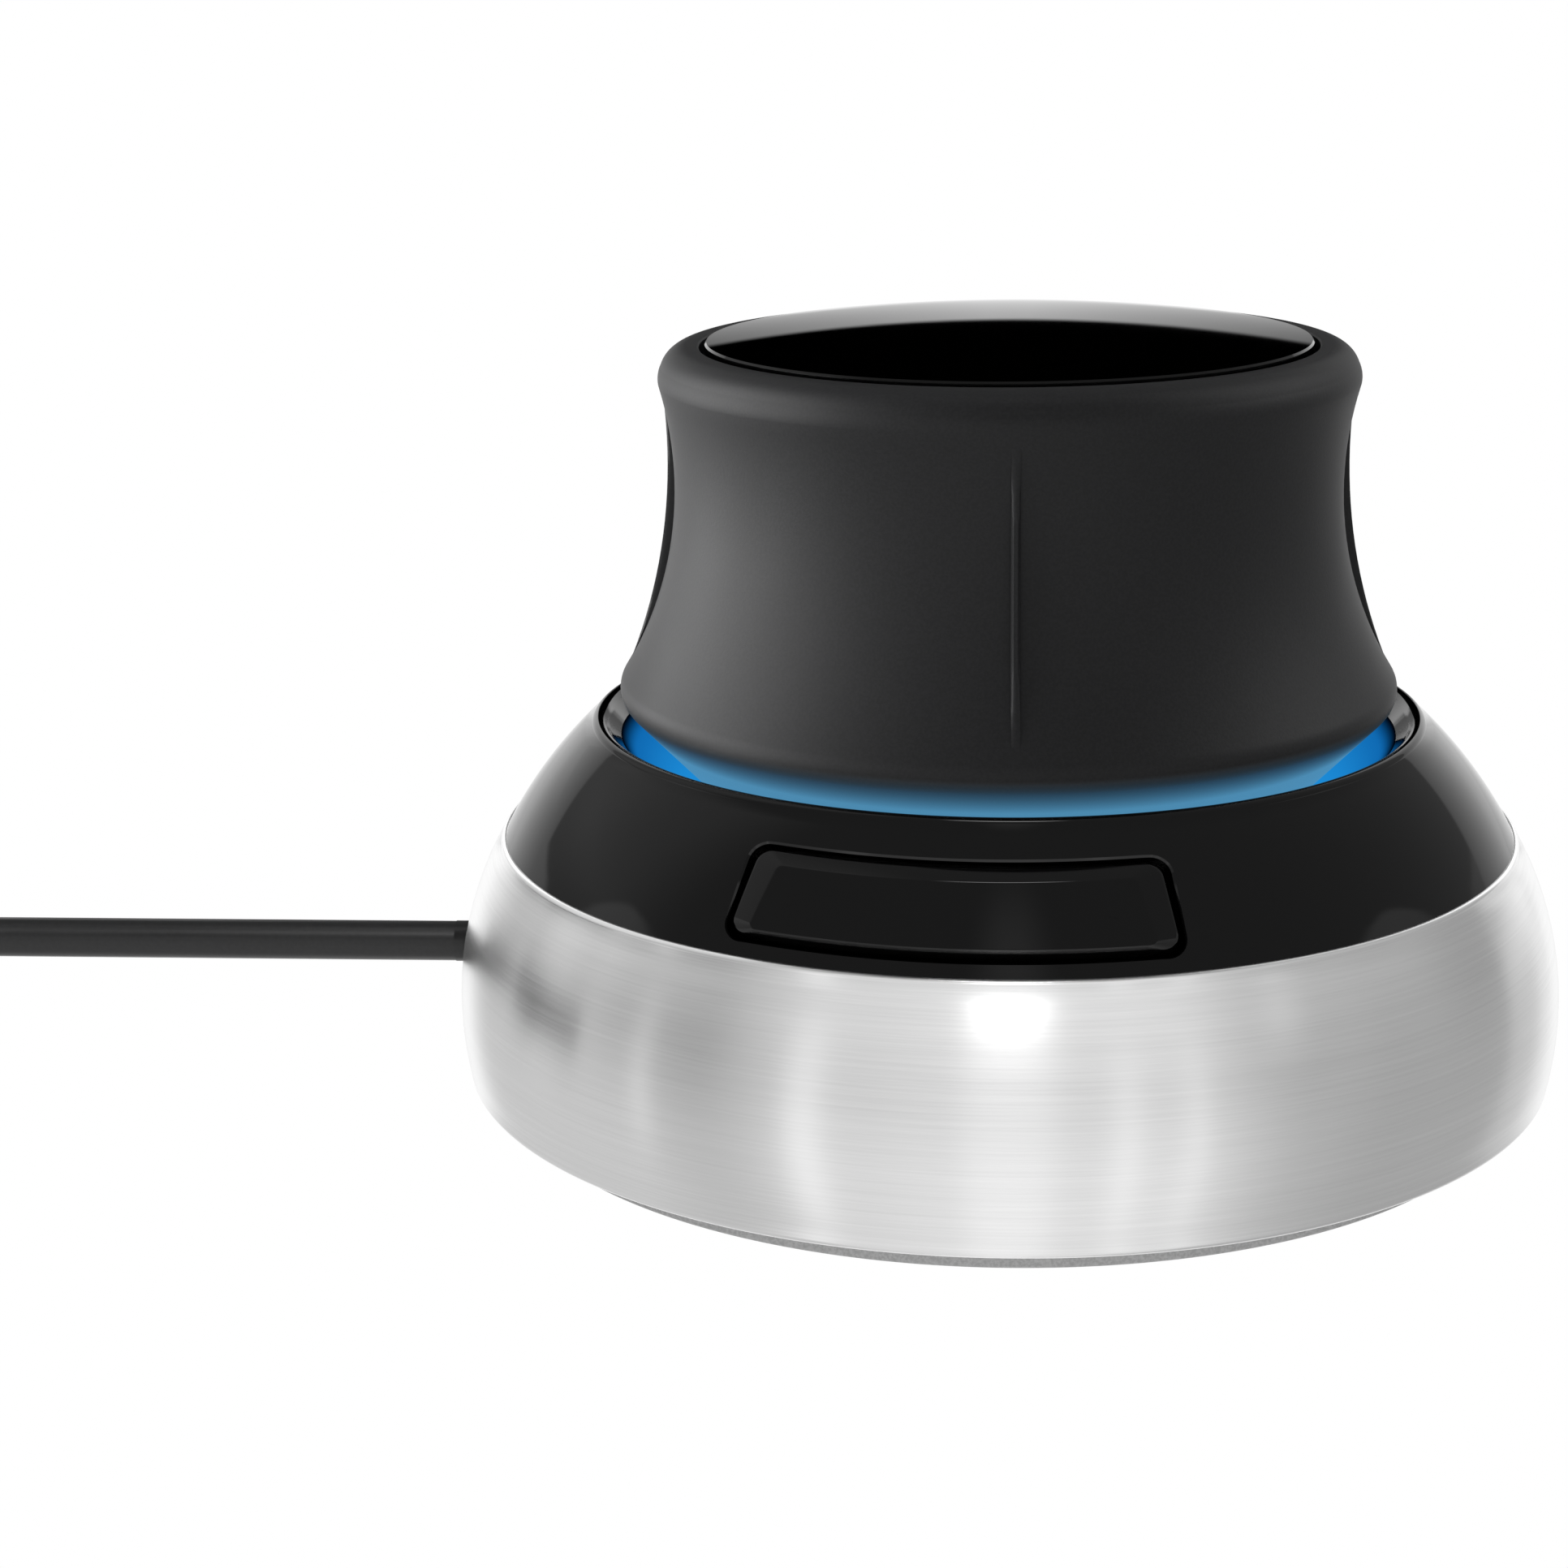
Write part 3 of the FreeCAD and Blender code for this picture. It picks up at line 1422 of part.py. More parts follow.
def biarc(start, leaving, end, arriving):
    """Two arcs that join two points smoothly, each given its direction."""
    span = end - start
    both = leaving + arriving
    spread = 1 - leaving.dot(arriving)
    along = span.dot(both)
    reach = (math.sqrt(along ** 2 + 2 * spread * span.dot(span)) - along) / (2 * spread)
    first = start + leaving * reach
    second = end - arriving * reach
    joint = (first + second) / 2
    edges = []
    for near, corner, far in ((start, first, joint), (joint, second, end)):
        half = (far - near).Length / 2
        middle = (near + far) / 2
        crown = middle + (corner - middle) * (half / (half + reach))
        edges.append(Part.Arc(near, crown, far).toShape())
    return edges


def coil_nodes(start):
    """Where each half turn begins: its place and its direction, winding clockwise seen from above."""
    pitch = value("coil_pitch")
    radius = value("coil_radius")
    height = start.z
    centre = coil_centre()
    side = -1
    nodes = []
    inward = -1
    for layer, half_turns in enumerate(LAYER_HALF_TURNS):
        if layer:
            height += pitch
            inward = -inward
        for step in range(half_turns + 1):
            nodes.append((centre + Vector(0, side * radius, height), Vector(side, 0, 0)))
            side = -side
            if step < half_turns:
                radius += inward * pitch / 2
    radius += pitch / 4
    last = centre + Vector(-radius, pitch / 4, height)
    nodes.append((last, Vector(0, 1, 0)))
    return nodes


def coil_edges():
    """The coil and the tail after it, as one smooth line."""
    start = cable_route()[-1]
    nodes = coil_nodes(start)
    edges = [Part.LineSegment(start, nodes[0][0]).toShape()]
    for (here, leaving), (there, arriving) in zip(nodes, nodes[1:]):
        edges += biarc(here, leaving, there, arriving)
    tail, radii = smooth_edges(tail_route(nodes[-1][0]))
    return edges + tail, radii


def tube(label, edges, section):
    """A solid tube of one section along a smooth line."""
    item = document.addObject("Part::Feature", label)
    item.Label = label
    item.Shape = Part.Wire(edges).makePipeShell([section], True, False)
    item.Placement = FreeCAD.Placement()
    return item


def cable():
    """The cable from the shell down to the desk and on to its coil."""
    edges, radii = smooth_edges(cable_route())
    rim = Part.Circle(cable_route()[0], Vector(1, 0, 0), value("cable_radius")).toShape()
    print("cable bends at radii", [round(radius, 1) for radius in radii])
    return tube("cable", edges, Part.Wire([rim]))


def cable_coil():
    """The rest of the cable: one unbroken tube wound in four layers, with its tail to the plug."""
    edges, radii = coil_edges()
    print("tail bends at radii", [round(radius, 1) for radius in radii])
    start = cable_route()[-1]
    corner = value("cable_radius")
    points = []
    for step in range(CORD_SIDES + 1):
        angle = 2 * math.pi * (step % CORD_SIDES + 0.5) / CORD_SIDES
        points.append(start + Vector(0, corner * math.cos(angle), corner * math.sin(angle)))
    coil = tube("cable_coil", edges, Part.makePolygon(points))
    report_cord(edges, corner)
    return coil


def report_cord(edges, corner):
    """Print the cord's whole length and the coil's least gap to itself."""
    first, _ = smooth_edges(cable_route())
    whole = sum(edge.Length for edge in first + edges)
    print(f"cord length {whole:.1f} mm of {CABLE_LENGTH:.0f} mm")
    spots = []
    travelled = 0.0
    for edge in edges:
        count = max(2, int(edge.Length / 1.0))
        for number, point in enumerate(edge.discretize(count + 1)[:-1]):
            spots.append((travelled + edge.Length * number / count, point))
        travelled += edge.Length
    nearest = min((here[1] - there[1]).Length for place, here in enumerate(spots)
                  for there in spots[place + 12:] if there[0] - here[0] > corner * 8)
    print(f"coil's least gap to itself {nearest - 2 * corner:.2f} mm")


def cable_tie():
    """Flat strap round the coil's turns, on the side towards the mouse."""
    nodes = coil_nodes(cable_route()[-1])
    centre = coil_centre()
    radii = [abs(here.y - centre.y) for here, _ in nodes[:-1]]
    body = new_body("cable_tie")
    room = measure("cable_radius") + "plate_play"
    low = measure("tie_thickness")
    pitch = measure("coil_pitch")
    high = low + measure("fit_gap") + measure("cable_radius") * 2 + pitch * (len(LAYER_HALF_TURNS) - 1)
    high = high + "fit_gap"
    near = measure("coil_radius") - (measure("coil_radius").value - min(radii)) - pitch / 4 - room
    far = measure("coil_radius") + room + pitch / 4
    thick = measure("tie_thickness")
    for name, grow, kind in (("outside", thick, "Pad"), ("inside", measure(0.0), "Pocket")):
        sketch = new_sketch(body, "XZ_Plane", name)
        bend = measure("plate_play") * 4 + grow
        left, right = near - grow + centre.x, far + grow + centre.x
        bottom, top = low - grow, high + grow
        outline(sketch, [
            (left + bend, bottom),
            (right - bend, bottom, bend, LEFT),
            (right, bottom + bend),
            (right, top - bend, bend, LEFT),
            (right - bend, top),
            (left + bend, top, bend, LEFT),
            (left, top - bend),
            (left, bottom + bend, bend, LEFT),
        ])
        pad(body, sketch, "tie_width", both_ways=True, kind=kind)
    body.Placement.Base = Vector(0, centre.y, 0)
    return body


def plug_sketch(body, name, width, height, along, bend=None):
    """A level rectangle square to the plug's length, at a distance from its back."""
    sketch = new_sketch(body, "YZ_Plane", name, lift=along)
    half = measure(width) / 2
    up = measure(height) / 2
    if bend is None:
        return outline(sketch, [(-half, -up), (half, -up), (half, up), (-half, up)])
    bend = measure(bend)
    return outline(sketch, [
        (bend - half, -up),
        (half - bend, -up, bend, LEFT),
        (half, bend - up),
        (half, up - bend, bend, LEFT),
        (half - bend, up),
        (bend - half, up, bend, LEFT),
        (-half, up - bend),
        (-half, bend - up, bend, LEFT),
    ])


def plug_body():
    """Moulded grip of the plug, with shallow grooves across it."""
    body = new_body("plug_body")
    place = plug_place()
    pad(body, plug_sketch(body, "grip", "plug_width", "plug_height", 0.0, "plug_round"), "plug_length")
    body.Placement.Base = place
    return body


def plug_shell():
    """Thin metal tube of the plug."""
    body = new_body("plug_shell")
    wall = measure("plug_shell_wall") * 2
    pad(body, plug_sketch(body, "tube", "plug_shell_width", "plug_shell_height", "plug_length"),
        "plug_shell_length")
    hollow = plug_sketch(body, "hollow", measure("plug_shell_width") - wall,
                         measure("plug_shell_height") - wall, measure("plug_length") - 1.0)
    pad(body, hollow, measure("plug_shell_length") + 2.0, kind="Pocket", reverse=True)
    body.Placement.Base = plug_place()
    return body


def plug_insert():
    """Tongue that carries the plug's contacts, against one side of the tube."""
    body = new_body("plug_insert")
    inner = measure("plug_shell_height") / 2 - "plug_shell_wall"
    half = measure("plug_shell_width") / 2 - "plug_shell_wall"
    sketch = new_sketch(body, "YZ_Plane", "tongue", lift="plug_length")
    outline(sketch, [(-half, inner - "plug_tongue_height"), (half, inner - "plug_tongue_height"),
                     (half, inner), (-half, inner)])
    pad(body, sketch, measure("plug_shell_length") - "plug_shell_wall")
    body.Placement.Base = plug_place()
    return body


def build():
    """Make every sub-part and return them in order."""
    left = left_button()
    plunger = left_switch_plunger()
    switch = left_switch()
    return [
        metal_shell(), base_plate(), foot_ring(), ballast_weight(), inner_frame(), top_cover(), light_ring(),
        main_board(), blue_leds(), controller_chip(), switch, mirrored("right_switch", switch),
        sensor_board(), sensor_pillars(), light_emitters(), light_detectors(), base_screws(), board_screws(),
        cable_grommet(), cable_clamp(), inner_lead(), lead_connector(),
        left, plunger, mirrored("right_button", left), mirrored("right_switch_plunger", plunger),
        helical_spring("spring_front", 0.0), helical_spring("spring_left", -THIRD),
        helical_spring("spring_right", THIRD), buffer_ring(), stop_collar(),
        knob_grip(), knob_core(), cap_disc(), moving_plate(), slit_ring(), knob_screws(),
        cable(), cable_coil(), cable_tie(), plug_body(), plug_shell(), plug_insert(),
    ]


def check(nodes):
    """Stop before writing if anything failed to build."""
    document.recompute()
    for item in document.Objects:
        if "Invalid" in item.State or "Error" in item.State:
            raise RuntimeError(f"{item.Label} did not build: {item.State} {item.getStatusString()}")
    for node in nodes:
        if node.Shape.isNull() or not node.Shape.isValid() or not node.Shape.Solids:
            raise RuntimeError(f"{node.Label} has no sound solid")


def write(nodes):
    """Write one STEP file for each sub-part."""
    os.makedirs("parts", exist_ok=True)
    for node in nodes:
        node.Shape.exportStep(f"parts/{node.Label}.step")
        box_of = node.Shape.BoundBox
        print(f"{node.Label}: {len(node.Shape.Solids)} solids, {node.Shape.Volume:.1f} mm3, "
              f"z {box_of.ZMin:.2f} to {box_of.ZMax:.2f}")


pieces = build()
check(pieces)
write(pieces)
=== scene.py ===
"""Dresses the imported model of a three-dimensional mouse: shapes, finishes, cable, light and camera."""

import json
import math

import bpy
from bpy.props import FloatProperty, FloatVectorProperty, IntProperty, PointerProperty
from mathutils import Matrix, Vector

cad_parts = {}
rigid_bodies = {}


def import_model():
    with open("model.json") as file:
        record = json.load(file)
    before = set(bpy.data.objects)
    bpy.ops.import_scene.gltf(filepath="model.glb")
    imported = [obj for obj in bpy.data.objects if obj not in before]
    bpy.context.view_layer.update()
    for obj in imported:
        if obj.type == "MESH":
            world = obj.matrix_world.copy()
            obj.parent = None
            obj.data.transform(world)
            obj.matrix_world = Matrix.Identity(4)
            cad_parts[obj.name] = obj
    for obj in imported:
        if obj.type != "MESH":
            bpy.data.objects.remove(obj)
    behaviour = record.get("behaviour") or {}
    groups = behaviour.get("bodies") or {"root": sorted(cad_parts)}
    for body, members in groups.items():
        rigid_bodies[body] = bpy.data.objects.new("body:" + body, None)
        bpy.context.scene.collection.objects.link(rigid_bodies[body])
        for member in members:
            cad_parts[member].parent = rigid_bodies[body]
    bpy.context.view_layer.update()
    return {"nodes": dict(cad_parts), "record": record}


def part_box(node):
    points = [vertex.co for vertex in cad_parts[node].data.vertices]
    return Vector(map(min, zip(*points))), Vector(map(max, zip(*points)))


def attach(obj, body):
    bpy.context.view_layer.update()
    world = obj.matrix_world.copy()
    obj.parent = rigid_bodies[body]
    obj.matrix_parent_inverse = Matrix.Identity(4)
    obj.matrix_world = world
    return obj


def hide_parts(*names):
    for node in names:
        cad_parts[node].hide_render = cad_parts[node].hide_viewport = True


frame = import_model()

bl_info = {
    "name": "Three-dimensional mouse",
    "version": (1, 0, 0),
    "blender": (4, 5, 0),
    "location": "3D View > Sidebar > Mouse",
    "description": "Shapes, finishes, cable, light and camera of a desk mouse with a six-way knob",
    "category": "Object",
}

# Units, and which way an arc turns along an outline
MM = 0.001
LEFT = 1
RIGHT = -1
QUARTER = math.pi / 2
TURN = 2 * math.pi
DIAGONAL = math.sqrt(0.5)

# Fineness of the meshes
MERGE = 0.002 * MM
ARC_STEP = math.radians(6)
SMOOTH = math.radians(30)
TUBE_SIDES = 64
BOW_POINTS = 56
END_POINTS = 10
FACE_RINGS = 7
HALVINGS = 40

# Side of the photograph in pixels, and half turns in each layer of the cable's coil
PHOTO_SIDE = 1932
LAYER_HALF_TURNS = (5, 5, 5, 4)


# Sizes and colours that a user would change

def length(name, note, millimetres):
    """A length that the panel shows in the scene's unit."""
    return FloatProperty(name=name, description=note, default=millimetres * MM, unit="LENGTH", precision=5)


def angle(name, note, degrees):
    """An angle, given in degrees."""
    return FloatProperty(name=name, description=note, default=math.radians(degrees), subtype="ANGLE")


def colour(name, note, value):
    """A colour as red, green and blue."""
    return FloatVectorProperty(name=name, description=note, default=value, size=3, subtype="COLOR",
                               min=0, max=1)


def width_of(node):
    """How wide a CAD node is, in millimetres."""
    low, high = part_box(node)
    return (high[0] - low[0]) / MM


class BaseSizes(bpy.types.PropertyGroup):
    shell_radius: length("Shell radius", "Largest radius of the metal shell", width_of("metal_shell") / 2)
    shell_curve: length("Shell curve", "Radius of the belly's arc", 22.5)
    belly_height: length("Belly height", "Height at which the shell is widest", 6.8)
    shell_foot: length("Shell foot", "Height of the shell's lower edge", 1.7)
    shell_bore: length("Shell bore", "Inner radius of the shell", 34.0)
    seam_height: length("Seam height", "Where metal and black cover meet", 18.6)
    edge: length("Edge", "Small bevel on the shell's edges", 0.3)
    plate_radius: length("Plate radius", "Radius of the base plate", width_of("base_plate") / 2)
    plate_top: length("Plate top", "Upper face of the base plate", 2.5)
    plate_foot: length("Plate foot", "Lower face of the base plate", 1.0)
    foot_inner: length("Foot ring bore", "Inner radius of the soft foot ring", 28.5)
    steps: IntProperty(name="Steps", description="Segments round a turned piece", default=384)


class CoverSizes(bpy.types.PropertyGroup):
    axis: length("Cone axis", "Centre of the cone's arc, from the middle line", 8.677)
    centre: length("Cone centre", "Height of the cone's arc centre", 4.191)
    curve: length("Cone curve", "Radius of the cone's arc", 30.0)
    foot_radius: length("Foot radius", "Cone's radius at the seam", 34.99)
    lip_radius: length("Lip radius", "Cone's radius at the lip", 28.79)
    lip_height: length("Lip height", "Height of the lip's outer edge", 26.45)
    lip_width: length("Lip width", "Width of the lip", 0.9)
    lip_rise: length("Lip rise", "How much higher the lip's inner edge lies", 0.25)
    lip_round: length("Lip round", "Radius of the lip", 0.6)
    floor_top: length("Floor", "Height of the well's floor", 19.1)
    floor_low: length("Floor underside", "Height of the floor's underside", 17.9)
    funnel_foot: length("Funnel foot", "Radius of the well's floor", 21.746)
    funnel_low: length("Funnel low", "Height where the funnel wall starts", 20.3)
    # Height up to which blue light is painted on the funnel's black wall; the ridges sit above it
    painted_glow_top: length("Painted glow top", "Height to which the funnel's wall is lit", 25.55)
    ridges: IntProperty(name="Ridges", description="Fine steps in the wall above the lit part", default=5)
    hub_bore: length("Hub bore", "Radius of the hole round the stem", 10.0)
    hub_wall: length("Hub wall", "Wall of the collar round the hole", 1.4)
    hub_rise: length("Hub rise", "Height of the collar above the floor", 2.4)


class ButtonSizes(bpy.types.PropertyGroup):
    turn: angle("Turn", "How far the buttons sit from the side towards the cable", 5.8)
    height: length("Height", "Height of the button's middle on the cone", 22.1)
    top_half: length("Top half width", "Half the width of the opening's upper edge", 12.8)
    low_half: length("Low half width", "Half the width of the opening's lower edge", 14.4)
    corner: length("Corner", "Radius of the opening's corners", 1.2)
    gap: length("Gap", "Gap round the button", 0.45)
    proud: length("Proud", "How far the face stands out of the cone", 0.35)
    top_slope: length("Top slope", "Width of the sloping band above the face", 1.1)
    side_slope: length("Side slope", "Width of the sloping band beside the face", 1.35)
    low_slope: length("Low slope", "Width of the sloping band below the face", 0.22)
    slope_depth: length("Slope depth", "How deep the sloping band goes", 0.34)
    flange: length("Flange", "How far the hidden flange reaches beyond the opening", 0.8)
    flange_top: length("Flange top", "Depth of the flange's upper side below the cone", 2.1)
    depth: length("Depth", "Depth of the key's back below the cone", 3.2)


class KnobSizes(bpy.types.PropertyGroup):
    radius: length("Radius", "Largest radius of the knob's skirt", width_of("knob_grip") / 2)
    skirt_height: length("Skirt height", "Height of the skirt's widest part", 28.85)
    skirt_round: length("Skirt round", "Radius of the skirt's edge", 1.62)
    skirt_end: angle("Skirt end", "Where the waist leaves the skirt's edge", 32.0)
    cone_run: length("Cone run", "How far the lower cone runs inwards", 5.23)
    cone_height: length("Cone height", "How far the lower cone runs down", 5.37)
    waist_curve: length("Waist curve", "Radius of the waist's hollow arc", 24.9)
    core_top: length("Core top", "Height of the seat of the disc", 51.0)
    rim_bore: length("Rim bore", "Radius of the recess for the disc", 20.9)
    wall: length("Wall", "Thickness of the rubber", 1.8)
    rib_width: length("Rib width", "Width of the thin upright ribs", 0.57)
    rib_curve: length("Rib curve", "Radius of the ribs' outer line", 37.6)
    rib_turn: angle("Rib turn", "How far the ribs are turned", 1.4)
    disc_radius: length("Disc radius", "Radius of the domed disc", 20.5)
    disc_edge: length("Disc edge", "Height of the disc's straight edge", 1.38)
    disc_bevel: length("Disc bevel", "Height of the bevel round the dome", 0.14)
    bead_overhang: length("Bead", "How far the bead under the crown stands outside the recess", 2.79)
    bead_drop: length("Bead drop", "How far the bead lies below the disc's seat", 1.23)
    bead_inset: length("Crown inset", "How far the crown's start lies inside the bead", 0.18)
    bead_rise: length("Crown rise", "How far the crown's start lies above the bead", 1.19)
    bead_round: length("Crown round", "Radius of bead and crown", 1.9)
    rim_width: length("Rim width", "Width of the flat rim round the disc", 0.92)
    rim_rise: length("Rim rise", "Height of the rim above the disc's seat", 1.25)
    top: length("Top", "Highest point of the disc", 54.0)


class CordSizes(bpy.types.PropertyGroup):
    radius: length("Radius", "Radius of the cable", 1.425)
    exit_reach: length("Exit", "Distance of the cable's exit from the middle", 39.2)
    exit_height: length("Exit height", "Height of the cable's middle at its exit", 9.3)
    bend_reach: length("Bend", "Where the cable leaves its level run", 83.0)
    landing: length("Landing", "Where the cable reaches the desk", 102.0)
    coil_start: length("Coil start", "Where the coil starts", 121.0)
    coil_shift: length("Coil shift", "How far aside the coil starts", 19.0)
    coil_radius: length("Coil radius", "Outer radius of the coil, at the cable's middle", 24.17)
    pitch: length("Pitch", "Distance between neighbouring turns", 3.8)
    coil_height: length("Coil height", "Height of the lowest turns' middle", 1.875)
    plug_gap: length("Plug gap", "Gap between coil and plug", 7.0)
    plug_width: length("Plug width", "Width of the plug's grip", 15.5)
    plug_height: length("Plug height", "Height of the plug's grip", 7.5)
    turn_points: IntProperty(name="Points", description="Control points in half a turn of the coil",
                             default=8)


class StageSettings(bpy.types.PropertyGroup):
    distance: length("Camera distance", "How far the camera stands in front of the middle", 222.78)
    height: length("Camera height", "Height of the camera above the desk", 82.48)
    pitch: angle("Pitch", "How far the camera looks down", math.degrees(0.2682))
    yaw: angle("Yaw", "How far the camera is turned", math.degrees(-0.0697))
    roll: angle("Roll", "How far the camera leans", math.degrees(-0.0131))
    focal: FloatProperty(name="Focal length", description="In pixels of the photograph", default=4051.3)
    floor_half: length("Floor", "Half the side of the floor", 6000.0)


class Finishes(bpy.types.PropertyGroup):
    metal: colour("Metal", "Brushed shell", (0.92, 0.92, 0.92))
    gloss: colour("Gloss", "Polished black plastic", (0.0015, 0.0015, 0.0016))
    rubber: colour("Rubber", "Grip", (0.012, 0.0122, 0.013))
    foot: colour("Foot", "Grey ring under the shell", (0.46, 0.46, 0.46))
    cable: colour("Cable", "Cable and plug", (0.013, 0.013, 0.0135))
    # glow and glow_pale colour the light ring, which is a lamp, and also the blue light painted on the
    # funnel's black wall
    glow: colour("Glow", "Light in the well", (0.004, 0.13, 0.42))
    glow_pale: colour("Pale glow", "Light where it is brightest", (0.012, 0.26, 0.68))
    # Painted light: blue glow painted on the knob's underside, in place of light from the well
    painted_underglow: colour("Painted underglow", "Light on the underside of the knob", (0.07, 0.235, 0.385))


# Work on meshes

def clear_selection():
    """Leave nothing selected, in object mode."""
    if bpy.context.object and bpy.context.object.mode != "OBJECT":
        bpy.ops.object.mode_set(mode="OBJECT")
    bpy.ops.object.select_all(action="DESELECT")


def choose(piece):
    """Make one object the selected and active one."""
    clear_selection()
    piece.select_set(True)
    bpy.context.view_layer.objects.active = piece


def edit_all(piece):
    """Open a piece in edit mode with everything selected."""
    choose(piece)
    bpy.ops.object.mode_set(mode="EDIT")
    bpy.ops.mesh.select_all(action="SELECT")


def new_piece(name, add, **settings):
    """A primitive with its own name."""
    clear_selection()
    add(**settings)
    piece = bpy.context.object
    piece.name = piece.data.name = name
    return piece


def new_object(name, data):
    """An object for a camera, a lamp or a curve, linked to the scene."""
    item = bpy.data.objects.new(name, data)
    bpy.context.scene.collection.objects.link(item)
    return item


def arc_points(start, end, radius, turn, step):
    """Points after the start, along the shorter arc to the end, that turns left or right."""
    start, end = Vector(start), Vector(end)
    chord = end - start
    across = Vector((-chord.y, chord.x)).normalized()
    height = math.sqrt(max(radius ** 2 - (chord.length / 2) ** 2, 0.0))
    centre = (start + end) / 2 + across * height * turn
    first = math.atan2(start.y - centre.y, start.x - centre.x)
    sweep = 2 * math.asin(min(chord.length / 2 / radius, 1.0)) * turn
    count = max(2, math.ceil(abs(sweep) / step))
    return [(centre.x + radius * math.cos(first + sweep * n / count),
             centre.y + radius * math.sin(first + sweep * n / count)) for n in range(1, count + 1)]


def trace(corners, step, closed):
    """The points of an outline with corners (x, y) or (x, y, radius, turn), the arc leading on."""
    points = [corners[0][:2]]
    following = corners[1:] + (corners[:1] if closed else [])
    for here, there in zip(corners, following):
        if len(here) == 4:
            points += arc_points(here[:2], there[:2], here[2], here[3], step)
        else:
            points.append(there[:2])
    return points


def draw_line(name, points):
    """Extrude one vertex from point to point in the XZ plane; the object is left in edit mode."""
    piece = new_piece(name, bpy.ops.mesh.primitive_plane_add, size=MM)
    edit_all(piece)
    bpy.ops.mesh.merge(type="CENTER")
    here = Vector((points[0][0], 0, points[0][1]))
    bpy.ops.transform.translate(value=here)
    for x, z in points[1:]:
        there = Vector((x, 0, z))
        bpy.ops.mesh.extrude_region_move(TRANSFORM_OT_translate={"value": there - here})
        here = there
    return piece


def finish_mesh(piece, smooth=SMOOTH):
    """Merge what coincides, turn the faces outwards and shade by angle; ends in object mode."""
    edit_all(piece)
    bpy.ops.mesh.remove_doubles(threshold=MERGE)
    bpy.ops.mesh.normals_make_consistent(inside=False)
    bpy.ops.object.mode_set(mode="OBJECT")
    bpy.ops.object.shade_smooth_by_angle(angle=smooth)
    return piece


def turned(name, corners, steps, step=ARC_STEP, closed=True):
    """A piece turned about the upright middle line from its half section."""
    piece = draw_line(name, trace(corners, step, closed))
    bpy.ops.mesh.select_all(action="SELECT")
    bpy.ops.mesh.spin(steps=steps, angle=TURN, center=(0, 0, 0), axis=(0, 0, 1))
    return finish_mesh(piece)


def ringed(name, rings, smooth=SMOOTH):
    """A closed piece pulled out ring by ring: an extruded circle, each ring set to its own points."""
    piece = new_piece(name, bpy.ops.mesh.primitive_circle_add, vertices=len(rings[0]), radius=MM,
                      fill_type="NOTHING")
    bpy.ops.object.mode_set(mode="EDIT")
    for _ in rings[1:]:
        bpy.ops.mesh.extrude_region_move(TRANSFORM_OT_translate={"value": (0, 0, MM)})
    bpy.ops.object.mode_set(mode="OBJECT")
    for ring, indices in zip(rings, ring_order(piece.data, len(rings))):
        for index, point in zip(indices, ring):
            piece.data.vertices[index].co = point
    edit_all(piece)
    bpy.ops.mesh.remove_doubles(threshold=MERGE)
    bpy.ops.mesh.select_all(action="DESELECT")
    bpy.ops.mesh.select_non_manifold(extend=False, use_wire=False, use_multi_face=False,
                                     use_non_contiguous=False, use_verts=False)
    bpy.ops.mesh.edge_face_add()
    return finish_mesh(piece, smooth)


def ring_order(mesh, rings):
    """Vertex numbers of each extruded ring, each in the order of the circle."""
    by_height = {}
    for vertex in mesh.vertices:
        by_height.setdefault(round(vertex.co.z / MM), []).append(vertex)
    order = []
    for level in range(rings):
        ring = sorted(by_height[level], key=lambda v: math.atan2(v.co.y, v.co.x) % TURN)
        order.append([vertex.index for vertex in ring])
    return order


def cut(piece, *tools):
    """Take tools away from a piece and delete them."""
    for tool in tools:
        choose(piece)
        bpy.ops.object.modifier_add(type="BOOLEAN")
        modifier = piece.modifiers[-1]
        modifier.operation = "DIFFERENCE"
        modifier.solver = "EXACT"
        modifier.object = tool
        bpy.ops.object.modifier_apply(modifier=modifier.name)
        bpy.data.objects.remove(tool)
    bpy.ops.object.shade_smooth_by_angle(angle=SMOOTH)
    return piece


def joined(name, pieces):
    """Several objects as one."""
    choose(pieces[0])
    for piece in pieces[1:]:
        piece.select_set(True)
    bpy.ops.object.join()
    whole = bpy.context.object
    whole.name = whole.data.name = name
    return whole


def copy_of(piece, name, matrix):
    """A copy with its own mesh, moved by a matrix that goes into the mesh."""
    twin = piece.copy()
    twin.data = piece.data.copy()
    twin.name = twin.data.name = name
    bpy.context.scene.collection.objects.link(twin)
    twin.data.transform(matrix)
    if matrix.determinant() < 0:
        edit_all(twin)
        bpy.ops.mesh.flip_normals()
        bpy.ops.object.mode_set(mode="OBJECT")
    return twin


def dress(piece, finish):
    """Give a piece one of the finishes."""
    piece.data.materials.clear()
    piece.data.materials.append(FINISHES[finish])


def keep(piece, body, slot, *nodes, finish=None):
    """Give a piece its finish, which is the slot's unless another is named, and its body, and hide the
    nodes that it stands for.
    """
    dress(piece, finish or slot)
    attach(piece, body)
    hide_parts(*nodes)
    return piece


# Materials

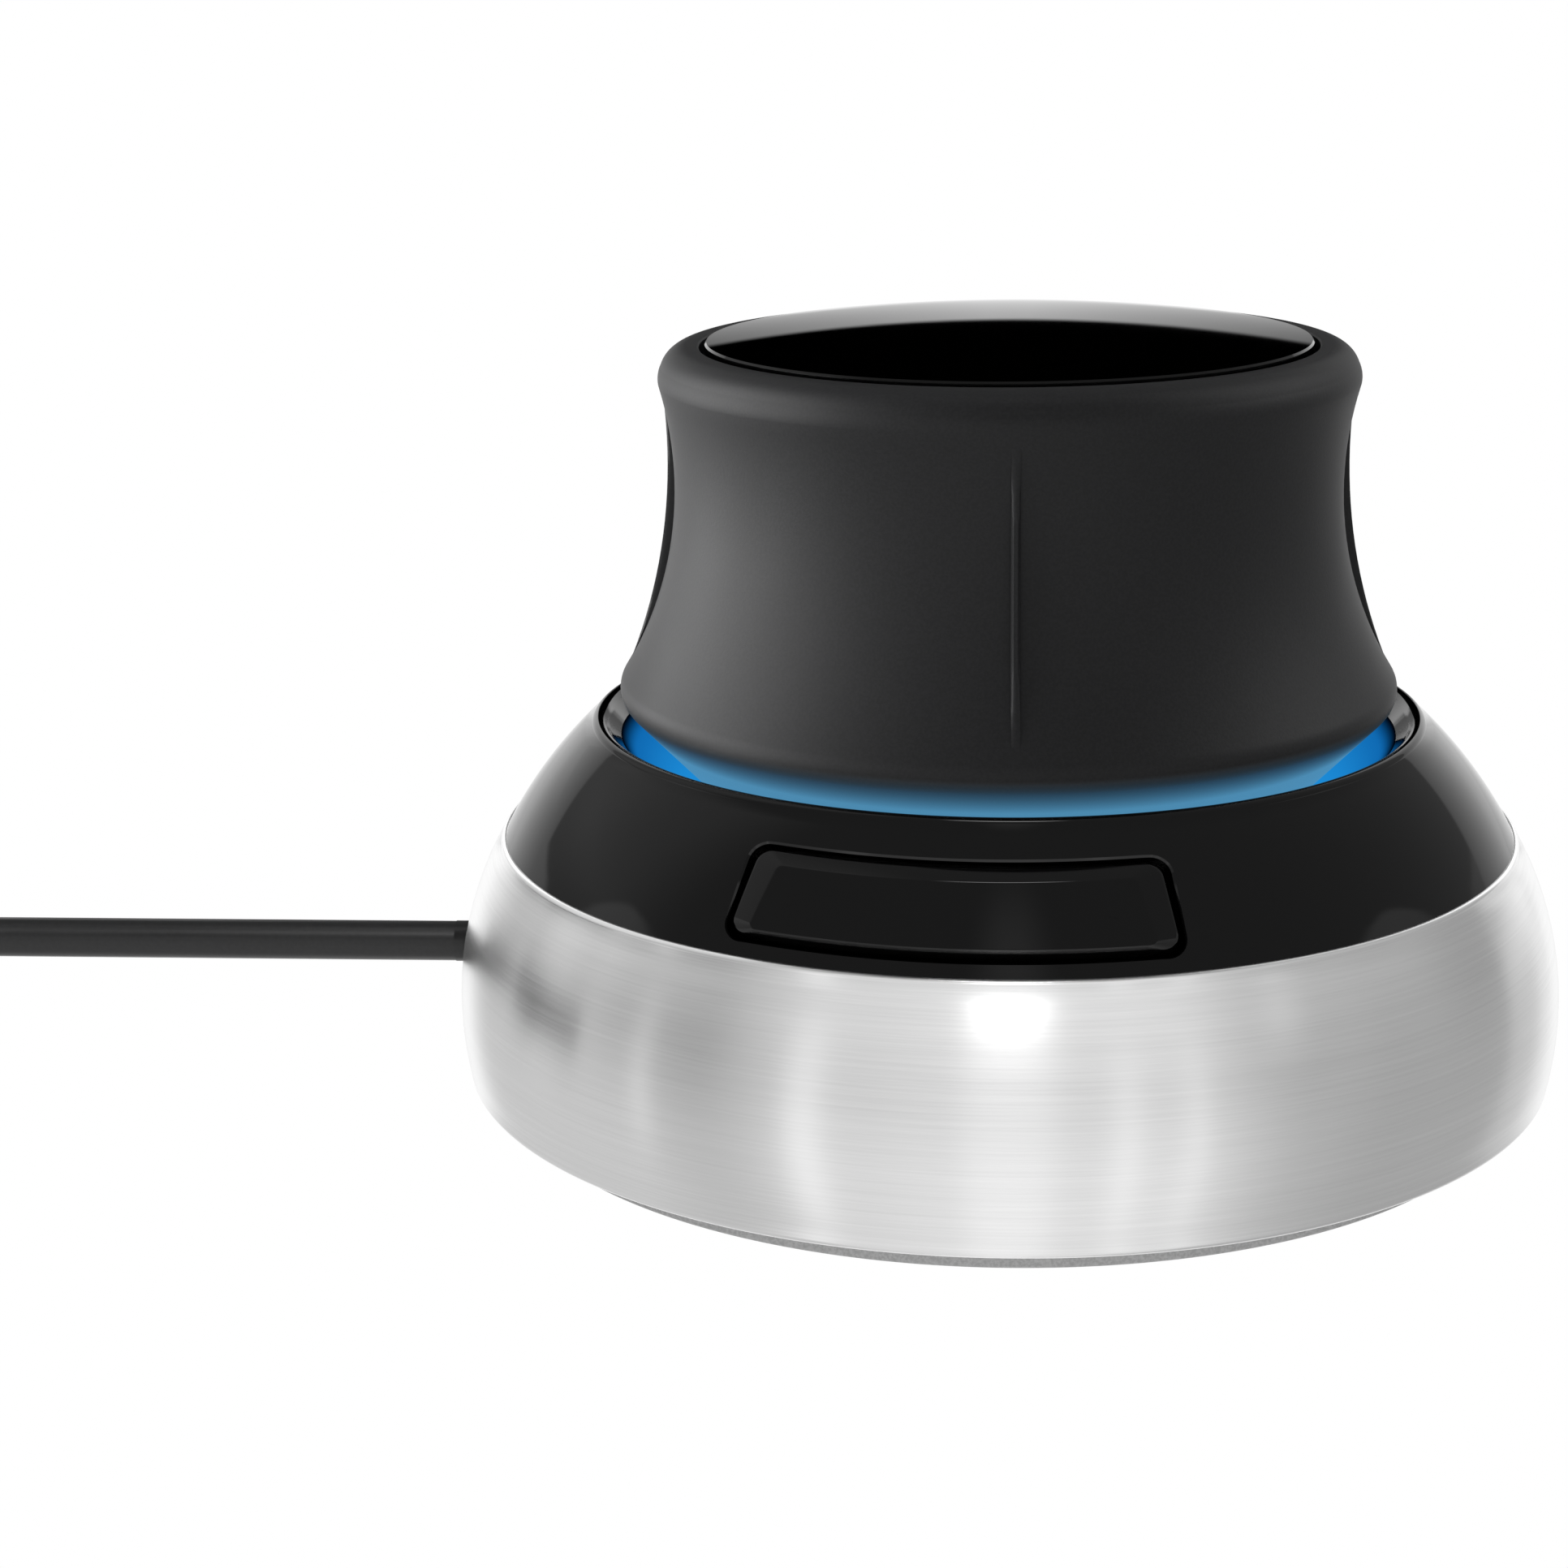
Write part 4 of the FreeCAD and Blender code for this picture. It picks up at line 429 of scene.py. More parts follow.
class Shader:
    """Short ways to add and join nodes in a node tree."""

    def __init__(self, tree):
        self.tree = tree

    def add(self, kind, values=None, **settings):
        """A new node with its settings and its inputs."""
        node = self.tree.nodes.new(kind)
        for key, value in settings.items():
            setattr(node, key, value)
        self.fill(node, values or {})
        return node

    def fill(self, node, values):
        """Join outputs to inputs of a node, or set the inputs' own values."""
        for key, value in values.items():
            socket = node.inputs[key]
            if isinstance(value, bpy.types.NodeSocket):
                self.tree.links.new(value, socket)
            elif socket.type == "RGBA" and len(value) == 3:
                socket.default_value = (*value, 1.0)
            else:
                socket.default_value = value

    def math(self, operation, a, b=0.0, clamp=False):
        return self.add("ShaderNodeMath", {0: a, 1: b}, operation=operation, use_clamp=clamp).outputs[0]

    def times(self, a, b):
        return self.math("MULTIPLY", a, b)

    def plus(self, a, b):
        return self.math("ADD", a, b)

    def minus(self, a, b, clamp=False):
        return self.math("SUBTRACT", a, b, clamp)

    def fade(self, value, low, high, out_low=0.0, out_high=1.0, smooth=True):
        """Map a value from one range to another, clamped."""
        return self.add("ShaderNodeMapRange", {0: value, 1: low, 2: high, 3: out_low, 4: out_high},
                        interpolation_type="SMOOTHSTEP" if smooth else "LINEAR").outputs[0]

    def spread(self, noise, low, high, smooth=True):
        """Stretch a noise, which mostly lies between 0.3 and 0.7, over a range."""
        return self.fade(noise, 0.3, 0.7, low, high, smooth)

    def mix(self, factor, a, b):
        """From one colour at nought to another at one."""
        return self.add("ShaderNodeMix", {0: factor, 6: a, 7: b}, data_type="RGBA").outputs[2]

    def noise(self, vector, scale, detail=2.0, roughness=0.5):
        return self.add("ShaderNodeTexNoise", {"Vector": vector, "Scale": scale, "Detail": detail,
                                              "Roughness": roughness}).outputs[0]

    def scaled(self, vector, scale):
        return self.add("ShaderNodeMapping", {"Vector": vector, "Scale": scale}).outputs[0]

    def object_place(self):
        return self.add("ShaderNodeTexCoord").outputs["Object"]

    def height(self):
        """Height of a place on the object."""
        return self.add("ShaderNodeSeparateXYZ", {0: self.object_place()}).outputs[2]

    def bump(self, height, distance, strength):
        return self.add("ShaderNodeBump", {"Height": height, "Strength": strength,
                                          "Distance": distance}).outputs[0]


def bare_material(name):
    """A material with no nodes, and the shader that fills it."""
    material = bpy.data.materials.new(name)
    material.use_nodes = True
    material.node_tree.nodes.clear()
    return material, Shader(material.node_tree)


def new_material(name):
    """A material with a Principled surface; returns it, its shader and the surface."""
    material, shader = bare_material(name)
    surface = shader.add("ShaderNodeBsdfPrincipled")
    shader.add("ShaderNodeOutputMaterial", {0: surface.outputs[0]})
    return material, shader, surface


def grain_group():
    """Fine grain with slow drift: a height for bump and a mask for colour and roughness."""
    group = bpy.data.node_groups.get("fine_grain")
    if group:
        return group
    group = bpy.data.node_groups.new("fine_grain", "ShaderNodeTree")
    for in_out, names in (("INPUT", ("Grain Scale", "Drift Scale")), ("OUTPUT", ("Height", "Drift"))):
        for name in names:
            group.interface.new_socket(name, in_out=in_out, socket_type="NodeSocketFloat")
    shader = Shader(group)
    ports = shader.add("NodeGroupInput")
    place = shader.object_place()
    shader.add("NodeGroupOutput", {
        "Height": shader.noise(place, ports.outputs["Grain Scale"], 3.0, 0.6),
        "Drift": shader.noise(place, ports.outputs["Drift Scale"]),
    })
    return group


def use_grain(shader, grain_scale, drift_scale):
    """Height and drift of the shared grain."""
    node = shader.add("ShaderNodeGroup", {"Grain Scale": grain_scale, "Drift Scale": drift_scale},
                      node_tree=grain_group())
    return node.outputs["Height"], node.outputs["Drift"]


def shade_of(tint, strength):
    """A darker or lighter shade of a colour."""
    return tuple(strength * part for part in tint)


def brushed_metal(name, tint):
    """Satin metal brushed in level circles, with lines of many widths."""
    material, shader, surface = new_material(name)
    place = shader.object_place()
    wide = shader.noise(shader.scaled(place, (25, 25, 900)), 1.0, 3.0, 0.6)
    fine = shader.noise(shader.scaled(place, (60, 60, 6500)), 1.0, 3.0, 0.7)
    lines = shader.plus(shader.times(wide, 0.4), shader.times(fine, 0.6))
    tone = shader.spread(lines, 0.93, 1.04, smooth=False)
    shade = shader.add("ShaderNodeVectorMath", {0: tint, 1: tone}, operation="MULTIPLY")
    tangent = shader.add("ShaderNodeTangent", direction_type="RADIAL", axis="Z")
    shader.fill(surface, {
        "Base Color": shade.outputs[0],
        "Metallic": 1.0,
        "Roughness": shader.spread(lines, 0.22, 0.26, smooth=False),
        "Anisotropic": 0.85,
        "Anisotropic Rotation": 0.25,
        "Tangent": tangent.outputs[0],
        "Normal": shader.bump(lines, 0.004 * MM, 0.5),
    })
    return material


def gloss_plastic(name, tint, roughness=0.04):
    """Polished black plastic with a faint cloudiness in its gloss and dust-fine unevenness."""
    material, shader, surface = new_material(name)
    height, drift = use_grain(shader, 900.0, 45.0)
    shader.fill(surface, {
        "Base Color": tint,
        "Roughness": shader.spread(drift, roughness, roughness + 0.03),
        "Specular IOR Level": 0.5,
        "Normal": shader.bump(height, 0.0008 * MM, 0.3),
    })
    return material


def painted_glow_funnel(name, deep, pale, cover):
    """Black funnel wall with painted blue light, as if lit from the ring below: paler low down and fading
    out upwards.
    """
    material, shader, surface = new_material(name)
    grain, drift = use_grain(shader, 2500.0, 120.0)
    height = shader.height()
    top = cover.painted_glow_top
    fade_out = 1.2 * MM
    shader.fill(surface, {
        "Base Color": (0.002, 0.003, 0.005),
        "Roughness": shader.spread(drift, 0.5, 0.6),
        "Specular IOR Level": 0.0,
        "Normal": shader.bump(grain, 0.002 * MM, 0.3),
        # Painted light: blue emission, paler towards the foot of the wall, fading out near its top
        "Emission Color": shader.mix(shader.fade(height, top, cover.funnel_low), deep, pale),
        "Emission Strength": shader.fade(height, top, top - fade_out),
    })
    return material


def rubber_with_painted_glow(name, tint, painted_underglow, knob):
    """Matte rubber with painted blue light on its underside, an emission in place of the glow from the
    well, fading out towards the skirt.
    """
    material = soft_rubber(name, tint, 0.52)
    shader = Shader(material.node_tree)
    surface = next(node for node in material.node_tree.nodes if node.type == "BSDF_PRINCIPLED")
    height = shader.height()
    skirt = knob.skirt_height - 0.1 * MM
    full_depth = 2.7 * MM
    fade_out = 0.4 * MM
    # Painted light: blue glow emitted below the skirt, faint just under it and full further down the cone
    depth = shader.fade(height, skirt, skirt - full_depth, smooth=False)
    faint = tuple(0.10 * painted_underglow[0] + part for part in (0.002, 0.004, 0.006))
    shader.fill(surface, {
        "Specular IOR Level": 0.22,
        "Emission Color": shader.mix(shader.times(depth, depth), faint, painted_underglow),
        "Emission Strength": shader.fade(height, skirt, skirt - fade_out),
    })
    return material


def soft_rubber(name, tint, roughness, grain=5200.0, depth=0.012 * MM):
    """Matte rubber or plastic with a fine grain."""
    material, shader, surface = new_material(name)
    height, drift = use_grain(shader, grain, 55.0)
    tone = shader.fade(height, 0.35, 0.65)
    shader.fill(surface, {
        "Base Color": shader.mix(tone, shade_of(tint, 0.86), shade_of(tint, 1.12)),
        "Roughness": shader.spread(drift, roughness - 0.03, roughness + 0.03),
        "Specular IOR Level": 0.5,
        "Normal": shader.bump(height, depth, 0.6),
    })
    return material


def plain_metal(name, tint):
    """Machined or stamped metal, cloudy in colour and gloss."""
    material, shader, surface = new_material(name)
    height, drift = use_grain(shader, 2500.0, 130.0)
    shader.fill(surface, {
        "Base Color": shader.mix(shader.spread(drift, 0.0, 1.0), shade_of(tint, 0.8), tint),
        "Metallic": 1.0,
        "Roughness": shader.spread(height, 0.29, 0.43),
        "Normal": shader.bump(height, 0.003 * MM, 0.5),
    })
    return material


def glowing_guide(name, deep, pale, cover):
    """Milky light guide: pale on the well's floor, deep blue higher up."""
    material, shader, surface = new_material(name)
    deep_from = 23.5 * MM
    rise = shader.fade(shader.height(), cover.floor_top, deep_from)
    shader.fill(surface, {
        "Base Color": (0.02, 0.05, 0.09),
        "Emission Color": shader.mix(rise, pale, deep),
        "Emission Strength": 2.2,
        "Roughness": 0.3,
    })
    return material


def circuit_board(name):
    """Green lacquer over copper lines."""
    material, shader, surface = new_material(name)
    bricks = shader.add("ShaderNodeTexBrick", {"Vector": shader.object_place(), "Scale": 900.0,
                                              "Mortar Size": 0.03})
    lines = bricks.outputs["Fac"]
    shader.fill(surface, {
        "Base Color": shader.mix(lines, (0.010, 0.085, 0.035), (0.030, 0.16, 0.06)),
        "Roughness": 0.35,
        "Normal": shader.bump(lines, 0.01 * MM, 0.5),
    })
    return material


FINISHES = {}


def make_finishes(tints, cover, knob):
    """Build every material once."""
    glows = (tints.glow, tints.glow_pale, cover)
    FINISHES.update({
        "brushed_shell": brushed_metal("brushed_shell", tints.metal),
        "gloss_black": gloss_plastic("gloss_black", tints.gloss),
        "gloss_disc": gloss_plastic("gloss_disc", (0.0003, 0.0003, 0.0003), 0.015),
        "painted_glow_funnel": painted_glow_funnel("painted_glow_funnel", *glows),
        "black_rubber": soft_rubber("black_rubber", tints.rubber, 0.52),
        "grip_with_painted_glow": rubber_with_painted_glow("grip_with_painted_glow", tints.rubber, tints.painted_underglow, knob),
        "grey_rubber": soft_rubber("grey_rubber", tints.foot, 0.6),
        "cable_rubber": soft_rubber("cable_rubber", tints.cable, 0.36, 3000.0, 0.005 * MM),
        "black_plastic": soft_rubber("black_plastic", (0.015, 0.015, 0.016), 0.42, 2500.0, 0.008 * MM),
        "steel": plain_metal("steel", (0.55, 0.55, 0.57)),
        "brass": plain_metal("brass", (0.72, 0.52, 0.24)),
        "green_board": circuit_board("green_board"),
        "white_plastic": soft_rubber("white_plastic", (0.72, 0.72, 0.70), 0.25, 1800.0, 0.003 * MM),
        "clear_plastic": glowing_guide("glow", *glows),
        "blue_lamp": glowing_guide("lamp", *glows),
    })


# Base

def cover_radius(cover, height):
    """Radius of the black cone at a height."""
    return cover.axis + math.sqrt(cover.curve ** 2 - (height - cover.centre) ** 2)


def shell_radius(base, height):
    """Outer radius of the metal shell at a height."""
    axis = base.shell_radius - base.shell_curve
    return axis + math.sqrt(base.shell_curve ** 2 - (height - base.belly_height) ** 2)


def pole(name, start, direction, radius, reach):
    """A plain round tool from a point along a direction."""
    direction = Vector(direction).normalized()
    piece = new_piece(name, bpy.ops.mesh.primitive_cylinder_add, vertices=TUBE_SIDES, radius=radius,
                      depth=reach)
    turn = Vector((0, 0, 1)).rotation_difference(direction).to_matrix().to_4x4()
    piece.data.transform(Matrix.Translation(Vector(start) + direction * reach / 2) @ turn)
    return piece


def build_shell(base, cord):
    """Spun metal shell with rolled edges and the cable's hole."""
    foot = base.shell_foot
    recess = base.plate_radius + 0.2 * MM
    top = base.seam_height - base.edge
    roll = 0.45 * MM
    outer_foot = shell_radius(base, foot + roll)
    piece = turned("metal_shell_skin", [
        (recess, foot),
        (outer_foot - roll, foot, roll, LEFT),
        (outer_foot, foot + roll, base.shell_curve, LEFT),
        (shell_radius(base, top), top, base.edge, LEFT),
        (shell_radius(base, top) - base.edge, base.seam_height),
        (base.shell_bore, base.seam_height),
        (base.shell_bore, base.plate_top),
        (recess, base.plate_top),
    ], base.steps, step=math.radians(3))
    hole_start = (-base.shell_bore + 5 * MM, 0, cord.exit_height)
    hole_radius = cord.radius + 0.92 * MM
    hole_reach = 12 * MM
    return cut(piece, pole("hole", hole_start, (-1, 0, 0), hole_radius, hole_reach))


def build_foot(base):
    """Soft grey ring that the mouse stands on."""
    edge = 0.25 * MM
    return turned("foot_ring_skin", [
        (base.foot_inner + edge, 0),
        (base.plate_radius - edge, 0, edge, LEFT),
        (base.plate_radius, edge),
        (base.plate_radius, base.plate_foot),
        (base.foot_inner, base.plate_foot),
        (base.foot_inner, edge, edge, LEFT),
    ], base.steps)


def build_grommet(base, cord):
    """Soft bush in the shell's hole, flush with the shell, with a short sleeve over the cable."""
    hole = cord.radius + 0.9 * MM
    inside = base.shell_bore - 0.5 * MM
    flush = base.shell_radius - 0.5 * MM
    edge = 0.25 * MM
    edge_round = 0.3 * MM
    sleeve = cord.radius + 0.03 * MM
    sleeve_end = cord.exit_reach + 0.05 * MM
    piece = turned("cable_bush", [
        (0, inside),
        (hole, inside),
        (hole, flush - edge, edge_round, LEFT),
        (hole - edge, flush),
        (sleeve, flush),
        (sleeve, sleeve_end),
        (0, sleeve_end),
    ], TUBE_SIDES, closed=False)
    along = Matrix.Rotation(-QUARTER, 4, "Y")
    piece.data.transform(Matrix.Translation((0, 0, cord.exit_height)) @ along)
    return piece


# Side buttons and their openings

class ButtonFrame:
    """The plane that touches the cone at the middle of the side button."""

    def __init__(self, cover, button):
        self.cover = cover
        self.button = button
        self.radius = cover_radius(cover, button.height)
        self.side = (self.radius - cover.axis) / cover.curve
        self.rise = (button.height - cover.centre) / cover.curve
        turn = Matrix.Rotation(-button.turn, 4, "Z")
        self.middle = turn @ Vector((0, -self.radius, button.height))
        self.across = (turn @ Vector((1, 0, 0))).normalized()
        self.up = (turn @ Vector((0, self.rise, self.side))).normalized()
        self.out = (turn @ Vector((0, -self.side, self.rise))).normalized()

    def slant(self, height):
        """How far up the plane a height on the cone lies."""
        wider = cover_radius(self.cover, height) - self.radius
        return (height - self.button.height) * self.side - wider * self.rise

    def sag(self, height, half):
        """How far a chord of the cone at a height bows, seen in the plane."""
        radius = cover_radius(self.cover, height)
        return (radius - math.sqrt(radius ** 2 - half ** 2)) * self.rise

    def plane(self, u, v, out):
        """The point over (u, v) at a distance from the plane."""
        return self.middle + self.across * u + self.up * v + self.out * out

    def on_cone(self, u, v, out):
        """The point over (u, v) that stands proud of the cone by a distance, found by halving."""
        low, high = -12 * MM, 3 * MM
        for _ in range(HALVINGS):
            middle = (low + high) / 2
            point = self.plane(u, v, middle)
            aside = math.hypot(point.x, point.y) - self.cover.axis
            if math.hypot(aside, point.z - self.cover.centre) > self.cover.curve + out:
                high = middle
            else:
                low = middle
        return self.plane(u, v, (low + high) / 2)


def round_corner(point, arriving, leaving, radius, count=10):
    """Points round a corner, the same number for any angle."""
    half_turn = math.acos(max(-1, min(1, arriving.dot(leaving)))) / 2
    reach = radius * math.tan(half_turn)
    inward = Vector((-arriving.y, arriving.x))
    centre = point - arriving * reach + inward * radius
    return [tuple(centre - Matrix.Rotation(2 * half_turn * step / count, 2) @ inward * radius)
            for step in range(count + 1)]


def bow_outline(place, insets, corner):
    """Closed outline of a button in its plane: bowed top and bottom, slanted ends, round corners."""
    side_in, top_in, low_in = insets
    low_full, top_full = place.button.low_half, place.button.top_half
    low_height = 19.5 * MM
    top_height = 24.7 * MM
    low_mid, top_mid = place.slant(low_height) + low_in, place.slant(top_height) - top_in
    low_sag, top_sag = place.sag(low_height, low_full), place.sag(top_height, top_full)
    low_half, top_half = low_full - side_in, top_full - side_in

    def low_line(u):
        return low_mid + low_sag * (u / low_full) ** 2

    def top_line(u):
        return top_mid + top_sag * (u / top_full) ** 2

    corners = [Vector((-low_half, low_line(low_half))), Vector((low_half, low_line(low_half))),
               Vector((top_half, top_line(top_half))), Vector((-top_half, top_line(top_half)))]
    low_tilt = 2 * low_sag * low_half / low_full ** 2
    top_tilt = 2 * top_sag * top_half / top_full ** 2
    rising = (corners[2] - corners[1]).normalized()
    falling = Vector((rising.x, -rising.y))
    ways = [(falling, Vector((1, -low_tilt)).normalized()),
            (Vector((1, low_tilt)).normalized(), rising),
            (rising, Vector((-1, -top_tilt)).normalized()),
            (Vector((-1, top_tilt)).normalized(), falling)]
    rounds = [round_corner(point, *way, corner) for point, way in zip(corners, ways)]
    outline = []
    edges = ((BOW_POINTS, low_line), (END_POINTS, None), (BOW_POINTS, top_line), (END_POINTS, None))
    for index, (count, line) in enumerate(edges):
        outline += rounds[index]
        start, end = Vector(rounds[index][-1]), Vector(rounds[(index + 1) % 4][0])
        for step in range(1, count):
            spot = start.lerp(end, step / count)
            if line:
                spot.y = line(spot.x)
            outline.append(tuple(spot))
    return outline


def spine_point(u, low, top, half):
    """Where an outline point shrinks to on the middle line of a button."""
    drawn_in = 0.8
    bow = 1.1
    spine_u = max(-half, min(half, u * drawn_in))
    return spine_u, (low + top) / 2 + (spine_u / half) ** 2 * bow * MM


def opening_tool(place):
    """The hole for a button, with a small bevel where it meets the cone."""
    def grown(wider):
        return bow_outline(place, [-wider] * 3, place.button.corner + wider)

    bevel = 0.30 * MM
    above = 2 * MM
    below = -9 * MM
    rings = [[place.plane(u, v, above) for u, v in grown(bevel)]]
    for wider, out in ((bevel, bevel), (0.14 * MM, 0), (0, -0.14 * MM), (0, -2.6 * MM)):
        rings.append([place.on_cone(u, v, out) for u, v in grown(wider)])
    rings.append([place.plane(u, v, below) for u, v in grown(0)])
    return ringed("opening", rings)


def build_button(place):
    """Long key: hidden flange, straight flank, sloping band and a face that follows the cone."""
    button = place.button
    gap, face, depth = button.gap, button.proud, button.slope_depth
    soft = 0.07 * MM
    hold = 0.03 * MM
    corner_loss = 0.45
    least_corner = 0.35 * MM
    middle_line = 1.5 * MM
    shoulder = face - depth
    flange = [-button.flange] * 3
    flank = [gap] * 3
    face_in = [gap + button.side_slope, gap + button.top_slope, gap + button.low_slope]

    def along(part):
        """Insets part of the way from the shoulder to the face."""
        return [gap + (inset - gap) * part for inset in face_in]

    # Each section's insets, and how far it stands out of the cone
    sections = [
        (flange, -button.depth),
        (flange, -button.flange_top),
        (flank, -button.flange_top),
        (flank, shoulder - soft - hold),
        (flank, shoulder - soft),
        (along(0.06), shoulder + depth * 0.02),
        (along(0.10), shoulder + depth * 0.08),
        (along(0.92), face - depth * 0.09),
        (along(0.97), face - depth * 0.03),
        ([inset + hold for inset in face_in], face),
        ([inset + hold * 4 for inset in face_in], face),
    ]
    rings = []
    for insets, out in sections:
        outline = bow_outline(place, insets, max(button.corner - insets[0] * corner_loss, least_corner))
        rings.append([place.on_cone(u, v, out) for u, v in outline])
    low = min(v for _, v in outline)
    top = min(v for _, v in outline if v > middle_line)
    half = max(u for u, _ in outline)
    for number in range(1, FACE_RINGS + 1):
        shrink = number / FACE_RINGS
        ring = []
        for u, v in outline:
            spine_u, spine_v = spine_point(u, low, top, half)
            ring.append(place.on_cone(u + (spine_u - u) * shrink, v + (spine_v - v) * shrink, face))
        rings.append(ring)
    return ringed("left_button_key", rings)


# Cover and light ring

def funnel_wall(cover, lip_in, lip_top, run):
    """The funnel's wall from the lip down: fine ridges above the part with painted light, then a plain
    slope.
    """
    def wall_radius(height):
        return cover.funnel_foot + (height - cover.funnel_low) * run

    start = lip_top - 0.25 * MM
    tooth_out = 0.03 * MM
    tooth_up = 0.02 * MM
    step = (start - cover.painted_glow_top) / cover.ridges
    wall = [(lip_in, lip_top)]
    for number in range(cover.ridges):
        high = start - step * number
        low = high - step
        wall.append((wall_radius(high), high))
        wall.append((wall_radius(low) + tooth_out, low + tooth_up))
    return wall + [(wall_radius(cover.painted_glow_top), cover.painted_glow_top)]


def paint_glow_on_funnel(piece, cover):
    """Give the faces of the funnel's lower wall the finish with painted blue light."""
    piece.data.materials.append(FINISHES["painted_glow_funnel"])
    wall_start = cover.funnel_foot - 0.1 * MM
    for face in piece.data.polygons:
        reach = math.hypot(face.center.x, face.center.y)
        inward = face.normal.x * face.center.x + face.normal.y * face.center.y < 0
        in_wall = cover.floor_top < face.center.z < cover.painted_glow_top
        if inward and in_wall and wall_start < reach < cover.lip_radius:
            face.material_index = 1


def build_cover(base, cover, button):
    """Black cover: cone, rounded lip, funnel, floor, collar and spigot, with the buttons' openings."""
    lip_in = cover.lip_radius - cover.lip_width
    lip_top = cover.lip_height + cover.lip_rise
    wall = 1.8 * MM
    spigot = base.shell_bore - 0.2 * MM
    spigot_in = spigot - wall
    spigot_low = base.seam_height - 3 * MM
    cone_foot = cover.foot_radius - 0.02 * MM
    bevel = 0.3 * MM
    collar = cover.hub_bore + cover.hub_wall
    collar_top = cover.floor_top + cover.hub_rise
    inner_curve = cover.curve - wall
    meets = cover.centre + math.sqrt(inner_curve ** 2 - (spigot_in - cover.axis) ** 2)
    pocket_top = cover.lip_height - 2.3 * MM
    pocket_out = cover.axis + math.sqrt(inner_curve ** 2 - (pocket_top - cover.centre) ** 2)
    back_foot = cover.funnel_foot + 1.02 * MM
    back_low = cover.funnel_low - 0.96 * MM
    run = (lip_in - cover.funnel_foot) / (lip_top - cover.funnel_low)
    piece = turned("top_cover_skin", [
        (cone_foot, base.seam_height, cover.curve, LEFT),
        (cover.lip_radius, cover.lip_height, cover.lip_round, LEFT),
        *funnel_wall(cover, lip_in, lip_top, run),
        (cover.funnel_foot, cover.funnel_low),
        (cover.funnel_foot, cover.floor_top),
        (collar, cover.floor_top),
        (collar, collar_top - bevel),
        (collar - bevel, collar_top),
        (cover.hub_bore, collar_top),
        (cover.hub_bore, cover.floor_low),
        (back_foot, cover.floor_low),
        (back_foot, back_low),
        (back_foot + (pocket_top - back_low) * run, pocket_top),
        (pocket_out, pocket_top, inner_curve, RIGHT),
        (spigot_in, meets),
        (spigot_in, spigot_low),
        (spigot, spigot_low),
        (spigot, base.seam_height),
    ], base.steps, step=math.radians(1.5))
    left = opening_tool(ButtonFrame(cover, button))
    right = copy_of(left, "opening_right", Matrix.Scale(-1, 4, (0, 1, 0)))
    return cut(piece, left, right)


def build_light_ring(cover, steps):
    """Milky ring on the floor of the well that spreads the light."""
    outer = cover.funnel_foot - 0.3 * MM
    inner = outer - 3.9 * MM
    top = cover.floor_top + 1.3 * MM
    dome = 8 * MM
    outer_drop = 0.4 * MM
    inner_bevel = 0.6 * MM
    return turned("light_ring_glow", [
        (inner, cover.floor_top),
        (outer, cover.floor_top),
        (outer, top - outer_drop, dome, LEFT),
        (inner + inner_bevel, top),
        (inner, top - inner_bevel),
    ], steps)


# Knob

def waist_arc(knob):
    """Centre, lower end and upper end of the waist's hollow arc."""
    low = Vector((knob.radius - knob.skirt_round + knob.skirt_round * math.cos(knob.skirt_end),
                  knob.skirt_height + knob.skirt_round * math.sin(knob.skirt_end)))
    high = Vector((knob.rim_bore + knob.bead_overhang, knob.core_top - knob.bead_drop))
    chord = high - low
    across = Vector((chord.y, -chord.x)).normalized()
    height = math.sqrt(knob.waist_curve ** 2 - (chord.length / 2) ** 2)
    return (low + high) / 2 + across * height, low, high


def hollow_radius(centre, curve, height):
    """Distance of a hollow arc from the middle line at a height."""
    return centre.x - math.sqrt(curve ** 2 - (height - centre.y) ** 2)


def build_grip(knob, steps):
    """Rubber sleeve: cone below, rounded skirt, waist, beaded rim and the recess for the disc."""
    centre, skirt_top, bead = waist_arc(knob)
    skirt_low = (knob.radius - knob.skirt_round + knob.skirt_round * DIAGONAL,
                 knob.skirt_height - knob.skirt_round * DIAGONAL)
    foot = (skirt_low[0] - knob.cone_run, skirt_low[1] - knob.cone_height)
    rim_top = knob.core_top + knob.rim_rise
    bevel = 0.1 * MM
    inner = knob.waist_curve + knob.wall
    core_low = knob.skirt_height + 1.6 * MM
    wall = knob.wall * DIAGONAL
    return turned("knob_grip_skin", [
        foot,
        (*skirt_low, knob.skirt_round, LEFT),
        (*skirt_top, knob.waist_curve, RIGHT),
        (*bead, knob.bead_round, LEFT),
        (bead.x - knob.bead_inset, bead.y + knob.bead_rise, knob.bead_round, LEFT),
        (knob.rim_bore + knob.rim_width, rim_top),
        (knob.rim_bore + bevel, rim_top),
        (knob.rim_bore, rim_top - bevel),
        (knob.rim_bore, knob.core_top),
        (hollow_radius(centre, inner, knob.core_top), knob.core_top, inner, LEFT),
        (hollow_radius(centre, inner, core_low), core_low),
        (foot[0] - wall, foot[1] + wall),
    ], steps, step=math.radians(2))


